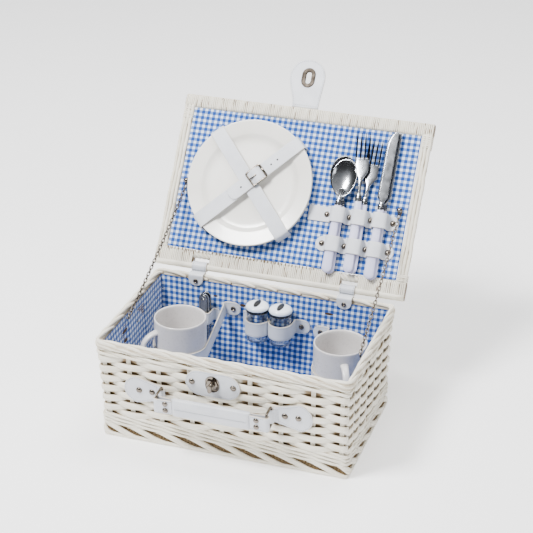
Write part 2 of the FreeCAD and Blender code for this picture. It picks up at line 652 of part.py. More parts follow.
def make_spoons():
    bowls = []
    start, top = d.handle_end_v, d.spoon_top
    for w, shift in pair_levels():
        x = d.spoon_x + shift
        level = w + d.handle_thick / 2
        stem = box(x - d.stem_half, x + d.stem_half, start, top - d.spoon_stem_overlap,
                   level - d.stem_half_thick, level + d.stem_half_thick)
        outline = doc.addObject("Part::Ellipse", "BowlOutline")
        bind(outline, "MajorRadius", d.spoon_bowl_length / 2)
        bind(outline, "MinorRadius", d.spoon_bowl_width / 2)
        put(outline, x, top - d.spoon_bowl_length / 2, level - d.stem_half_thick,
            Rotation(Vector(0, 0, 1), 90))
        bowl = doc.addObject("Part::Extrusion", "Bowl")
        bowl.Base = outline
        bowl.DirMode = "Custom"
        bowl.Dir = Vector(0, 0, 1)
        bind(bowl, "LengthFwd", d.stem_half_thick * 2)
        bowl.Solid = True
        bowls.append(fuse(stem, bowl))
    node("spoon_metal", bowls, LID)
    node("spoon_handles", handle_pair(d.spoon_x, d.handle_v, d.handle_end_v), LID)


def make_forks():
    heads = []
    start, top = d.fork_handle_end, d.fork_top
    for w, shift in pair_levels():
        x = d.fork_x + shift
        level = w + d.handle_thick / 2
        z0, z1 = level - d.fork_half_thick, level + d.fork_half_thick
        neck_end, head_end = top - d.fork_neck_end, top - d.fork_head_end
        parts = [box(x - d.fork_neck_half, x + d.fork_neck_half, start, neck_end, z0, z1),
                 box(x - d.fork_head_half, x + d.fork_head_half, neck_end, head_end, z0, z1)]
        for tine in range(4):
            left = x - d.fork_head_half + d.tine_pitch * tine
            parts.append(box(left, left + d.tine_width, head_end - 1, top, z0, z1))
        heads.append(fuse(*parts))
    node("fork_metal", heads, LID)
    node("fork_handles", handle_pair(d.fork_x, d.fork_handle_v, d.fork_handle_end), LID)


def make_knives():
    blades = []
    start, top = d.handle_end_v, d.knife_top
    for w, shift in pair_levels():
        x = d.knife_x + shift
        level = w + d.handle_thick / 2
        half, thick = d.blade_half, d.blade_half_thick
        blade = box(x - half, x + half, start, top - half, level - thick, level + thick)
        tip = rod(half, thick * 2, x, top - half, level - thick)
        blades.append(fuse(blade, tip))
    node("knife_metal", blades, LID)
    node("knife_handles", handle_pair(d.knife_x, d.handle_v, d.handle_end_v), LID)


# ---------------------------------------------------------------- mugs, shakers and corkscrew

def make_mug(label, x, y, turn):
    """A straight-sided mug with a round handle turned to the given compass angle."""
    radius, wall, tall = d.mug_radius, d.mug_wall, d.mug_height
    z0 = d.mug_top - tall
    cup = spun([(0, 0), (radius - 3, 0), (radius, 4), (radius, tall), (radius - wall, tall),
                (radius - wall, wall + 4), (radius - wall - 4, wall + 1), (0, wall + 1)], "Cup")
    put(cup, x, y, z0)
    ring = doc.addObject("Part::Torus", "Handle")
    bind(ring, "Radius1", d.mug_handle_ring)
    bind(ring, "Radius2", d.mug_handle_wire)
    ring.Angle3 = 180
    angle = math.radians(turn.value)
    root = d.mug_radius - 1.5
    face_out = Rotation(Vector(0, 0, 1), turn.value).multiply(UPRIGHT).multiply(Rotation(Vector(0, 0, 1), -90))
    put(ring, x + root * math.cos(angle), y + root * math.sin(angle), d.mug_handle_z, face_out)
    node(label, fuse(cup, ring))


def half_loop(x, y, radius, z0, z1):
    """The front of a strap that bends round a cylinder, with a straight side back to the lining."""
    inner = radius + d.wrap_gap
    outer = inner + d.thick_leather
    ring = cut(rod(outer, z1 - z0, x, y, z0), rod(inner, z1 - z0 + 2, x, y, z0 - 1))
    front = doc.addObject("Part::Common", "Front")
    front.Base = ring
    front.Tool = box(x - outer - 1, x + outer + 1, y - outer - 1, y, z0, z1)
    back = d.strap_wall_y
    sides = [box(x + a, x + b, y, back, z0, z1) for a, b in ((-outer, -inner), (inner, outer))]
    return [front] + sides


def make_mug_straps():
    for label, x, y, inward in (("mug_strap_left", -d.mug_left_x, d.mug_left_y, 1),
                                ("mug_strap_right", d.mug_right_x, d.mug_right_y, -1)):
        z0 = d.mug_strap_z
        z1 = z0 + d.mug_strap_height
        pieces = half_loop(x, y, d.mug_radius, z0, z1)
        edge = d.mug_radius + d.wrap_gap
        ends = sorted((x + inward * edge, x + inward * (edge + d.mug_strap_tail)),
                      key=lambda size: size.value)
        pieces.append(box(ends[0], ends[1], d.strap_wall_y - d.thick_leather, d.strap_wall_y, z0, z1))
        node(label, fuse(*pieces))


def make_shaker(side_label, x):
    radius, wall = d.jar_radius, d.jar_wall
    tall = d.jar_top - d.jar_bottom
    jar = spun([(0, 0), (radius, 0), (radius, tall), (radius - wall, tall), (radius - wall, wall * 2),
                (0, wall * 2)], "Jar")
    node("shaker_jar_" + side_label, put(jar, x, d.shaker_y, d.jar_bottom))
    cap, height = d.cap_radius, d.cap_top - d.jar_top
    seat = d.cap_seat
    lid = spun([(0, seat), (cap, seat), (cap, height * 0.55), (cap * 0.85, height * 0.9), (cap * 0.5, height),
                (0, height)], "Cap")
    node("shaker_cap_" + side_label, put(lid, x, d.shaker_y, d.jar_top))


def make_shaker_strap():
    z0 = d.shaker_strap_z
    z1 = z0 + d.shaker_strap_height
    pieces = []
    for x in (-d.shaker_left_x, d.shaker_right_x):
        pieces += half_loop(x, d.shaker_y, d.jar_radius, z0, z1)
    back = d.strap_wall_y
    edge = d.jar_radius + d.wrap_gap
    middle = (z0 + z1) / 2
    for start, end in ((-d.shaker_left_x - edge - d.shaker_tail_left, -d.shaker_left_x - edge),
                       (d.shaker_right_x + edge, d.shaker_right_x + edge + d.shaker_tail_right)):
        pieces.append(box(start, end, back - d.thick_leather, back, z0, z1))
    pieces.append(rod(d.shaker_strap_height / 2, d.thick_leather,
                      d.shaker_right_x + edge + d.shaker_tail_right, back - d.thick_leather, middle, TO_Y))
    node("shaker_strap", fuse(*pieces))


def make_corkscrew():
    """A folded waiter's corkscrew in a loop on the back wall, its lever in front."""
    x, y, z0 = -d.corkscrew_x, d.corkscrew_y, d.corkscrew_z
    wide, deep = d.corkscrew_width / 2, d.corkscrew_depth / 2
    body = box(x - wide, x + wide, y - deep, y + deep, z0, z0 + d.corkscrew_length)
    node("corkscrew_body", body)
    front = y - deep - d.surface_gap
    lever = box(x - d.lever_width / 2, x + d.lever_width / 2, front - d.lever_thick, front,
                z0 + d.lever_start, z0 + d.corkscrew_length)
    node("corkscrew_lever", lever)
    low = d.shaker_strap_z
    high = low + d.corkscrew_strap_height
    face = front - d.lever_thick - d.corkscrew_gap
    side = wide + d.corkscrew_gap
    outer = side + d.thick_leather
    strap = [box(x - outer, x + outer, face - d.thick_leather, face, low, high)]
    for a, b in ((-outer, -side), (side, outer)):
        strap.append(box(x + a, x + b, face, d.strap_wall_y, low, high))
    strap.append(box(x + side, x + side + d.corkscrew_strap_tail,
                     d.strap_wall_y - d.thick_leather, d.strap_wall_y, low, high))
    node("corkscrew_strap", fuse(*strap))


def make_lining_rivets():
    """Rivets that hold the straps to the back wall through the lining."""
    y = d.strap_wall_y - d.thick_leather
    strap_mid = d.mug_strap_z + d.mug_strap_height / 2
    shaker_mid = d.shaker_strap_z + d.shaker_strap_height / 2
    spots = [(d.shaker_right_x + d.jar_radius + d.shaker_rivet_gap, shaker_mid),
             (d.mug_radius + d.mug_rivet_gap - d.mug_left_x, strap_mid),
             (d.mug_right_x - d.mug_radius - d.mug_rivet_gap, strap_mid)]
    node("lining_rivets", [rivet(x, y, z, UPRIGHT) for x, z in spots])


# ---------------------------------------------------------------- build

def build():
    make_floor()
    make_borders()
    make_walls()
    make_base_lining()
    make_lock()
    make_handle_tab("handle_tab_left", -d.ring_left_x, -1)
    make_handle_tab("handle_tab_right", d.ring_right_x, 1)
    make_ring("ring_left", -d.ring_left_x)
    make_ring("ring_right", d.ring_right_x)
    make_grip()
    make_front_rivets()
    make_hinge_straps()
    make_chain_fittings()
    make_chains()
    make_lid()
    make_tongue()
    make_plates()
    make_plate_straps()
    make_cutlery_strap("cutlery_strap_upper", d.upper_strap_v, d.upper_strap_start)
    make_cutlery_strap("cutlery_strap_lower", d.lower_strap_v, d.lower_strap_start)
    make_cutlery_rivets()
    make_spoons()
    make_forks()
    make_knives()
    make_mug("mug_left", -d.mug_left_x, d.mug_left_y, d.mug_left_turn)
    make_mug("mug_right", d.mug_right_x, d.mug_right_y, d.mug_right_turn)
    make_mug_straps()
    make_shaker("left", -d.shaker_left_x)
    make_shaker("right", d.shaker_right_x)
    make_shaker_strap()
    make_corkscrew()
    make_lining_rivets()


def check_document():
    """Stop if any object failed, or if any sub-part has no valid solid."""
    for item in doc.Objects:
        if "Invalid" in item.State or "Error" in item.State:
            raise RuntimeError("%s failed: %s" % (item.Name, item.State))
    for item in nodes:
        shape = item.Shape
        if shape.isNull() or not shape.isValid() or not shape.Solids:
            raise RuntimeError("%s has no valid solid" % item.Label)


def export():
    os.makedirs("parts", exist_ok=True)
    for item in nodes:
        item.Shape.exportStep("parts/%s.step" % item.Label)
        bounds = item.Shape.BoundBox
        print("%-22s %d solids %9.1f mm3  x %.1f..%.1f y %.1f..%.1f z %.1f..%.1f" % (
            item.Label, len(item.Shape.Solids), item.Shape.Volume, bounds.XMin, bounds.XMax,
            bounds.YMin, bounds.YMax, bounds.ZMin, bounds.ZMax))


build()
doc.recompute()
check_document()
export()
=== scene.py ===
"""Wicker picnic basket: woven willow, check cotton, leather, nickel and crockery round the CAD frame."""
import json
import math

import bpy
import numpy as np
from mathutils import Matrix, Vector


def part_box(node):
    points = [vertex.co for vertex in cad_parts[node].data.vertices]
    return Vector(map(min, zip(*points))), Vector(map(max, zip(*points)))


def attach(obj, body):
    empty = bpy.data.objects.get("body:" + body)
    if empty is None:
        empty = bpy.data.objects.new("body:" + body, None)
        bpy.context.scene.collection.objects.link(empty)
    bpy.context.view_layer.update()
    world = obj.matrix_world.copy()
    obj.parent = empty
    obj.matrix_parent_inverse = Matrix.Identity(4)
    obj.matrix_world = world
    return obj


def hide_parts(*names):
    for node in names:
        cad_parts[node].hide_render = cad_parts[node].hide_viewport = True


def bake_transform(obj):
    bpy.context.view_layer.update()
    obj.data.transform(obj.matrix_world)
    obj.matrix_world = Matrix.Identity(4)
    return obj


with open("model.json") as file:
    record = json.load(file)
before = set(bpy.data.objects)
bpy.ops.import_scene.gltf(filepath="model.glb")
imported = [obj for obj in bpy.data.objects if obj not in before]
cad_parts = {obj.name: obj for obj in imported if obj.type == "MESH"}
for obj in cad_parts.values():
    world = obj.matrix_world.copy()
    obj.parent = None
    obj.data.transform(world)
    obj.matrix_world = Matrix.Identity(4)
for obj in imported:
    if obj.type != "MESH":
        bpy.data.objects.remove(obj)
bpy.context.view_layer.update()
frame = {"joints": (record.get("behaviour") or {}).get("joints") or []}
random = np.random.default_rng(11)
joints = {joint["name"]: joint for joint in frame["joints"]}

MM = 0.001
TAU = 2 * math.pi
X, Y, Z = np.eye(3)


# ---------------------------------------------------------------- frames, all in millimetres

def frame_matrix(origin, x, y, z):
    """A 4 by 4 matrix from an origin and three axes."""
    matrix = np.eye(4)
    matrix[:3, 0], matrix[:3, 1], matrix[:3, 2], matrix[:3, 3] = x, y, z, origin
    return matrix


ROD_V, ROD_W = 2.43 * MM, 4.0 * MM           # hinge rod's place in the lid, from the hinge edge
lid_up = -np.array(joints["spoons_slide"]["axis"])
lid_face = np.cross(X, lid_up)
hinge = np.array(joints["lid_hinge"]["pos_m"])
# In the lid: x to the right, y from the hinge edge to the front edge, z out of the inner face.
LID = frame_matrix(hinge - lid_up * ROD_V + lid_face * ROD_W, X, lid_up, lid_face)

wall_up = np.array(joints["handle_ring_left"]["axis"])
wall_out = np.array(joints["lock_turn"]["axis"])
foot_low, foot_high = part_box("foot_border")
front_foot = np.array([0.0, foot_low.y + 1 * MM, foot_high.z])
# On the front wall: x to the right, y up the wall, z straight out of it.
FRONT = frame_matrix(front_foot - wall_up * (foot_high.z / wall_up[2]), X, wall_up, wall_out)
WORLD = np.eye(4)
PLATE_X, PLATE_V = -66.6, 140.5
BUCKLED_TURN, PLAIN_TURN = math.radians(46), math.radians(-48)


def turned_in_lid(x, v, angle):
    """A frame in the lid, moved to a point and turned about the lid's normal."""
    c, s = math.cos(angle), math.sin(angle)
    local = frame_matrix((x * MM, v * MM, 0), (c, s, 0), (-s, c, 0), Z)
    return LID @ local


# ---------------------------------------------------------------- mesh building

class Bundle:
    """Many swept strands, turned pieces and panels in one frame, collected into one mesh."""

    def __init__(self, matrix=WORLD):
        self.matrix = matrix
        self.points, self.faces, self.strand, self.dirt, self.uvs = [], [], [], [], []
        self.count = 0

    def append(self, points, faces, strand=None, dirt=None, uvs=None):
        """Add points in millimetres in the bundle's own frame."""
        points = np.asarray(points, float) * MM
        size = len(points)
        self.points.append(points @ self.matrix[:3, :3].T + self.matrix[:3, 3])
        self.faces.extend([[i + self.count for i in face] for face in faces])
        self.strand.append(np.zeros((size, 3)) if strand is None else strand)
        self.dirt.append(np.zeros(size) if dirt is None else np.broadcast_to(dirt, size))
        self.uvs.append(np.zeros((size, 2)) if uvs is None else uvs)
        self.count += size

    def sweep(self, path, normals, section, scale=None, closed=False, dirt=None, edge=None, tone=None):
        """Sweep a section of (out, side) points along a path whose outward normals are given."""
        path = np.asarray(path, float)
        count, sides = len(path), len(section)
        normals = np.broadcast_to(np.asarray(normals, float), (count, 3))
        if closed:
            tangent = np.roll(path, -1, 0) - np.roll(path, 1, 0)
        else:
            tangent = np.gradient(path, axis=0)
        tangent /= np.linalg.norm(tangent, axis=1)[:, None] + 1e-12
        out = normals - tangent * np.sum(normals * tangent, 1)[:, None]
        out /= np.linalg.norm(out, axis=1)[:, None] + 1e-12
        side = np.cross(tangent, out)
        scale = np.broadcast_to(np.asarray(1.0 if scale is None else scale, float), (count, 2))
        a = section[None, :, 0] * scale[:, 0:1]
        b = section[None, :, 1] * scale[:, 1:2]
        points = path[:, None, :] + a[..., None] * out[:, None, :] + b[..., None] * side[:, None, :]
        steps = np.r_[0, np.cumsum(np.linalg.norm(np.diff(path, axis=0), axis=1))] * MM
        strand = np.empty((count, sides, 3))
        strand[..., 0] = steps[:, None]
        strand[..., 1] = np.arange(sides)[None, :] / sides
        strand[..., 2] = random.random() if tone is None else tone
        faces = []
        rows = count if closed else count - 1
        for i in range(rows):
            j = (i + 1) % count
            for k in range(sides):
                m = (k + 1) % sides
                faces.append([i * sides + k, i * sides + m, j * sides + m, j * sides + k])
        if not closed:
            faces.append(list(range(sides))[::-1])
            faces.append([(count - 1) * sides + k for k in range(sides)])
        shade_tint_values = np.zeros((count, sides))
        if dirt is not None:
            shade_tint_values += np.broadcast_to(dirt, count)[:, None]
        if edge is not None:
            shade_tint_values += np.asarray(edge)[None, :]
        self.append(points.reshape(-1, 3), faces, strand.reshape(-1, 3), shade_tint_values.ravel())

    def lathe(self, profile, origin=(0, 0, 0), axis=Z, count=40, dirt=None, tone=None):
        """Turn an outline of (radius, height) points about an axis, from its bottom to its top."""
        axis = unit(axis)
        first = unit(np.cross(axis, X if abs(axis[0]) < 0.9 else Y))
        second = np.cross(axis, first)
        profile = np.asarray(profile, float)
        angle = np.arange(count) * TAU / count
        ring = np.cos(angle)[:, None] * first + np.sin(angle)[:, None] * second
        radius = np.maximum(profile[:, 0], 0.01)
        points = np.asarray(origin, float) + radius[:, None, None] * ring + profile[:, 1, None, None] * axis
        faces = []
        for i in range(len(profile) - 1):
            for k in range(count):
                m = (k + 1) % count
                faces.append([i * count + k, i * count + m, (i + 1) * count + m, (i + 1) * count + k])
        faces.append(list(range(count))[::-1])
        faces.append([(len(profile) - 1) * count + k for k in range(count)])
        strand = np.empty((len(profile), count, 3))
        strand[..., 0] = (np.cumsum(np.r_[0, np.hypot(*np.diff(profile, axis=0).T)]) * MM)[:, None]
        strand[..., 1] = np.arange(count) / count
        strand[..., 2] = random.random() if tone is None else tone
        shade_tint_values = None if dirt is None else np.repeat(np.broadcast_to(dirt, len(profile)), count)
        self.append(points.reshape(-1, 3), faces, strand.reshape(-1, 3), shade_tint_values)

    def panel(self, outline, low, high, bevel=0.4, edge=0.0, hole=None):
        """A flat piece with bevelled edges, from an outline in the frame's XY plane, with a hole if given."""
        outline = np.asarray(outline, float)
        if hole is None:
            rings = [(outline, bevel, low), (outline, 0, low + bevel), (outline, 0, high - bevel),
                     (outline, bevel * 0.35, high - bevel * 0.35), (outline, bevel, high),
                     (outline, bevel * 2.5, high)]
        else:
            rings = [(hole, -bevel, low), (outline, bevel, low), (outline, 0, low + bevel),
                     (outline, 0, high - bevel), (outline, bevel, high), (outline, bevel * 2.5, high),
                     (hole, -bevel * 2.5, high), (hole, -bevel, high), (hole, 0, high - bevel),
                     (hole, 0, low + bevel)]
        levels = [np.c_[inset(line, amount), np.full(len(line), level)] for line, amount, level in rings]
        count = len(outline)
        faces = []
        last = len(levels) if hole is not None else len(levels) - 1
        for i in range(last):
            j = (i + 1) % len(levels)
            for k in range(count):
                m = (k + 1) % count
                faces.append([i * count + k, i * count + m, j * count + m, j * count + k])
        if hole is None:
            faces.append(list(range(count))[::-1])
            faces.append([(len(levels) - 1) * count + k for k in range(count)])
        points = np.concatenate(levels)
        shade_tint_values = np.zeros(len(points))
        if hole is None:
            shade_tint_values[:4 * count] = edge
        else:
            shade_tint_values[count:4 * count] = edge
        strand = np.c_[points[:, :2] * MM, np.zeros(len(points))]
        self.append(points, faces, strand, shade_tint_values)

    def sheet_grid(self, grid, uv, flip=False):
        """A single surface from a grid of points, with cloth coordinates in metres."""
        rows, columns = grid.shape[:2]
        faces = []
        for i in range(rows - 1):
            for k in range(columns - 1):
                first, above = i * columns + k, (i + 1) * columns + k
                face = [first, first + 1, above + 1, above]
                faces.append(face[::-1] if flip else face)
        self.append(grid.reshape(-1, 3), faces, uvs=uv.reshape(-1, 2) * MM)

    def build(self, name, material, smooth=True):
        mesh = bpy.data.meshes.new(name)
        mesh.from_pydata(np.concatenate(self.points).tolist(), [], self.faces)
        # The per-point level written here carries painted shade on willow (with some bare brown willow),
        # painted shade and a painted dark reflection on steel, and the real cut-edge tint on leather.
        for attribute, kind, field, values in (
                ("strand", "FLOAT_VECTOR", "vector", np.concatenate(self.strand)),
                ("dirt", "FLOAT", "value", np.concatenate(self.dirt))):
            layer = mesh.attributes.new(attribute, kind, "POINT")
            layer.data.foreach_set(field, np.ascontiguousarray(values, np.float32).ravel())
        uvs = np.concatenate(self.uvs)
        if np.any(uvs):
            corners = np.empty(len(mesh.loops), np.int32)
            mesh.loops.foreach_get("vertex_index", corners)
            layer = mesh.uv_layers.new(name="UVMap")
            layer.data.foreach_set("uv", uvs[corners].astype(np.float32).ravel())
        if smooth:
            mesh.shade_smooth()
        piece = bpy.data.objects.new(name, mesh)
        bpy.context.scene.collection.objects.link(piece)
        piece.data.materials.append(material)
        return piece


def unit(vector):
    vector = np.asarray(vector, float)
    return vector / (np.linalg.norm(vector) + 1e-12)


def inset(outline, amount):
    """Move a closed counterclockwise outline inwards."""
    if amount == 0:
        return outline
    tangent = np.roll(outline, -1, 0) - np.roll(outline, 1, 0)
    tangent /= np.linalg.norm(tangent, axis=1)[:, None] + 1e-12
    return outline + np.stack([-tangent[:, 1], tangent[:, 0]], 1) * amount


def finish_piece(piece, body, slot, *nodes):
    """Ride a piece on its body and hide the CAD nodes that it stands for."""
    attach(piece, body)
    if nodes:
        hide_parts(*nodes)
    return piece


def oval(out, side, count=10, power=1.0):
    """A closed section: an ellipse, or a rounder-cornered box when power is under 1."""
    angle = np.arange(count) * TAU / count
    c, s = np.cos(angle), np.sin(angle)
    return np.stack([out * np.sign(c) * np.abs(c) ** power, side * np.sign(s) * np.abs(s) ** power], 1)


STRAP_WIDTH = 23.5      # of most straps


def slab(thick, width, soft=0.45):
    """A flat strap's section with softened corners and flat faces."""
    a, b = thick / 2, width / 2
    flat = b - soft - 1.0
    points = []
    for sign_a, sign_b, start in ((1, -1, -90), (1, 1, 0), (-1, 1, 90), (-1, -1, 180)):
        centre = np.array([sign_a * (a - soft), sign_b * (b - soft)])
        turns = [math.radians(start + turn) for turn in (0, 45, 90)]
        arc = [centre + soft * np.array([math.cos(turn), math.sin(turn)]) for turn in turns]
        inner = [np.array([sign_a * a, sign_b * flat])]
        points += inner + arc if sign_a == sign_b else arc + inner
    return np.array(points)


def slab_edge(section, width):
    """How much each point of a strap's section lies on its cut edge."""
    return np.where(np.abs(section[:, 1]) > width / 2 - 0.25, 1.0, 0.0)


def rounded_path(points, passes=3):
    """Cut a path's corners until it runs smoothly, keeping its two ends."""
    points = np.asarray(points, float)
    for _ in range(passes):
        a, b = points[:-1], points[1:]
        middle = np.stack([a * 0.75 + b * 0.25, a * 0.25 + b * 0.75], 1).reshape(-1, points.shape[1])
        points = np.concatenate([points[:1], middle, points[-1:]])
    return points


def respaced(points, step):
    """The same path with evenly spaced points."""
    points = np.asarray(points, float)
    along = np.r_[0, np.cumsum(np.linalg.norm(np.diff(points, axis=0), axis=1))]
    count = max(2, int(round(along[-1] / step)) + 1)
    where = np.linspace(0, along[-1], count)
    return np.stack([np.interp(where, along, points[:, i]) for i in range(points.shape[1])], 1)


def smooth_step(x):
    x = np.clip(x, 0, 1)
    return x * x * (3 - 2 * x)


def wobble(values, period, seed=0.0):
    """Gentle irregular waves between about -1 and 1."""
    values = np.asarray(values, float) / period
    return 0.5 * np.sin(TAU * values + seed) + 0.3 * np.sin(TAU * values * 1.7 + 2 * seed + 1) \
        + 0.2 * np.sin(TAU * values * 2.9 + 3 * seed + 2)


def circle(radius, x=0.0, y=0.0, count=48, start=0.0):
    angle = start + np.arange(count) * TAU / count
    return np.stack([x + radius * np.cos(angle), y + radius * np.sin(angle)], 1)


def stadium(width, height, x=0.0, y=0.0, count=64):
    """An outline with two straight sides and two round ends, along its longer direction."""
    radius = min(width, height) / 2
    run = max(width, height) / 2 - radius
    points = circle(radius, 0, 0, count, math.pi / count)
    if width >= height:
        points[:, 0] += np.sign(points[:, 0]) * run
    else:
        points[:, 1] += np.sign(points[:, 1]) * run
    return points + (x, y)


def round_box(width, height, radius, x=0.0, y=0.0, count=8):
    """A rectangle with round corners."""
    points = []
    for number, (sx, sy) in enumerate(((1, 1), (-1, 1), (-1, -1), (1, -1))):
        for turn in np.linspace(0, math.pi / 2, count):
            angle = number * math.pi / 2 + turn
            points.append((x + sx * (width / 2 - radius) + radius * math.cos(angle),
                           y + sy * (height / 2 - radius) + radius * math.sin(angle)))
    return np.array(points)


# ---------------------------------------------------------------- materials

def colour(text):
    """A linear colour from a six-digit hex string."""
    parts = [int(text[i:i + 2], 16) / 255 for i in (0, 2, 4)]
    linear = [c / 12.92 if c <= 0.04045 else ((c + 0.055) / 1.055) ** 2.4 for c in parts]
    return (*linear, 1.0)


class Graph:
    """Builds one material's nodes."""

    def __init__(self, name, **sockets):
        self.material = bpy.data.materials.new(name)
        self.material.use_nodes = True
        self.nodes = self.material.node_tree.nodes
        self.links = self.material.node_tree.links
        self.shader = self.nodes["Principled BSDF"]
        for socket, value in sockets.items():
            self.shader.inputs[socket.replace("_", " ")].default_value = value

    def add(self, kind, **settings):
        item = self.nodes.new(kind)
        for key, value in settings.items():
            setattr(item, key, value)
        return item

    def fill(self, socket, value):
        """Link a socket, or set its constant."""
        if isinstance(value, bpy.types.NodeSocket):
            self.links.new(value, socket)
        else:
            socket.default_value = value

    def attribute(self, name, output="Vector"):
        return self.add("ShaderNodeAttribute", attribute_name=name).outputs[output]

    def place(self):
        return self.add("ShaderNodeTexCoord").outputs["Object"]

    def math(self, operation, first, second=0.0):
        item = self.add("ShaderNodeMath", operation=operation)
        self.fill(item.inputs[0], first)
        self.fill(item.inputs[1], second)
        return item.outputs[0]

    def split(self, vector):
        item = self.add("ShaderNodeSeparateXYZ")
        self.links.new(vector, item.inputs[0])
        return item.outputs

    def combine(self, x, y, z):
        item = self.add("ShaderNodeCombineXYZ")
        for socket, value in zip(item.inputs, (x, y, z)):
            self.fill(socket, value)
        return item.outputs[0]

    def noise(self, vector, scale, detail=3.0, rough=0.5):
        item = self.add("ShaderNodeTexNoise")
        self.links.new(vector, item.inputs["Vector"])
        item.inputs["Scale"].default_value = scale
        item.inputs["Detail"].default_value = detail
        item.inputs["Roughness"].default_value = rough
        return item.outputs["Fac"]

    def ramp(self, value, *stops, interpolation="LINEAR"):
        item = self.add("ShaderNodeValToRGB")
        item.color_ramp.interpolation = interpolation
        elements = item.color_ramp.elements
        while len(elements) < len(stops):
            elements.new(0.5)
        for element, (place, shade) in zip(elements, stops):
            element.position = place
            element.color = colour(shade) if isinstance(shade, str) else (shade, shade, shade, 1)
        self.fill(item.inputs[0], value)
        return item.outputs["Color"]

    def mix(self, factor, first, second):
        item = self.add("ShaderNodeMix", data_type="RGBA")
        self.fill(item.inputs["Factor"], factor)
        self.fill(item.inputs[6], first)
        self.fill(item.inputs[7], second)
        return item.outputs[2]

    def bump(self, height, distance, strength=1.0):
        item = self.add("ShaderNodeBump")
        item.inputs["Strength"].default_value = strength
        item.inputs["Distance"].default_value = distance
        self.links.new(height, item.inputs["Height"])
        self.links.new(item.outputs[0], self.shader.inputs["Normal"])

    def finish(self, base=None, roughness=None):
        if base is not None:
            self.links.new(base, self.shader.inputs["Base Color"])
        if roughness is not None:
            self.links.new(roughness, self.shader.inputs["Roughness"])
        return self.material


def willow_material(name, light, warm, brown, gap):
    """White paint over peeled willow: grain along each rod, bare brown where it dips out of sight, and
    painted shade that takes it to the near-black gap colour in gaps, flanks and hidden parts.
    """
    g = Graph(name, Specular_IOR_Level=0.35)
    along, around, seed = g.split(g.attribute("strand"))
    dirt = g.attribute("dirt", "Fac")
    fibre = g.combine(g.math("MULTIPLY", along, 45.0), g.math("MULTIPLY", around, 9.0),
                      g.math("MULTIPLY", seed, 83.0))
    grain = g.noise(fibre, 1.0, 4.0, 0.65)
    blotch = g.noise(g.place(), 55.0, 3.0)
    paint = g.mix(g.ramp(grain, (0.35, 0.0), (0.72, 1.0)), colour(light), colour(warm))
    streak = g.ramp(grain, (0.60, 0.0), (0.74, 0.75))
    paint = g.mix(g.math("MULTIPLY", streak, g.ramp(blotch, (0.45, 0.05), (0.72, 0.7))), paint, colour(brown))
    tint = g.mix(g.math("MULTIPLY", seed, 0.45), paint, g.mix(0.5, paint, colour(warm)))
    # Painted shade mixed with grain: the per-point level takes the paint to brown, then to the near-black gap
    # colour.
    wear_and_shade = g.math("ADD", dirt, g.math("MULTIPLY", g.math("SUBTRACT", grain, 0.5), 0.55))
    base = g.mix(g.ramp(wear_and_shade, (0.30, 0.0), (0.62, 0.85)), tint, colour(brown))
    base = g.mix(g.ramp(wear_and_shade, (0.72, 0.0), (1.05, 1.0)), base, colour(gap))
    g.bump(g.math("ADD", grain, g.math("MULTIPLY", blotch, 0.3)), 0.0005, 0.55)
    return g.finish(base, g.ramp(grain, (0.2, 0.48), (0.9, 0.72)))


def gingham_material(name, pitch=9.0):
    """Woven check cotton: two sets of blue stripes, darkest where they cross."""
    g = Graph(name, Roughness=0.85, Specular_IOR_Level=0.2, Sheen_Weight=0.25)
    uv = g.add("ShaderNodeUVMap", uv_map="UVMap").outputs[0]
    wave = g.noise(uv, 60.0, 2.0)
    u, v, _ = g.split(uv)
    bend = g.math("MULTIPLY", g.math("SUBTRACT", wave, 0.5), 0.0009)
    stripes = []
    for part in (u, v):
        shifted = g.math("ADD", g.math("ADD", part, 1.0), bend)
        place = g.math("FRACT", g.math("MULTIPLY", shifted, 1000 / pitch))
        edge = g.math("ABSOLUTE", g.math("SUBTRACT", place, 0.5))
        stripes.append(g.ramp(edge, (0.25, 1.0), (0.285, 0.0)))
    total = g.math("MULTIPLY", g.math("ADD", stripes[0], stripes[1]), 0.5)
    thread_u = g.math("SINE", g.math("MULTIPLY", u, TAU * 1000 / 0.9))
    thread_v = g.math("SINE", g.math("MULTIPLY", v, TAU * 1000 / 0.9))
    yarn = g.math("MULTIPLY", thread_u, thread_v)
    total = g.math("ADD", total, g.math("MULTIPLY", yarn, 0.035))
    total = g.math("ADD", total, g.math("MULTIPLY", g.math("SUBTRACT", g.noise(uv, 900.0, 2.0), 0.5), 0.12))
    base = g.ramp(total, (0.05, "DFE3EC"), (0.45, "6C8AC2"), (0.55, "5F7EB8"), (0.95, "173F88"))
    g.bump(yarn, 0.0002, 0.35)
    return g.finish(base)


def leather_material(name, shade, shadow, cut):
    """Smooth pale leather with a fine pebble, soft creases and a cream cut edge."""
    g = Graph(name, Specular_IOR_Level=0.45, Coat_Weight=0.12, Coat_Roughness=0.35)
    place = g.place()
    pebble = g.noise(place, 900.0, 3.0, 0.6)
    cloud = g.noise(place, 45.0, 3.0)
    edge = g.attribute("dirt", "Fac")
    base = g.mix(g.ramp(cloud, (0.35, 0.0), (0.75, 1.0)), colour(shade), colour(shadow))
    base = g.mix(g.math("MULTIPLY", g.ramp(pebble, (0.55, 0.0), (0.75, 1.0)), 0.25), base, colour(shadow))
    base = g.mix(edge, base, colour(cut))
    g.bump(g.math("ADD", pebble, g.math("MULTIPLY", cloud, 1.4)), 0.0004, 0.35)
    return g.finish(base, g.ramp(pebble, (0.3, 0.36), (0.8, 0.55)))


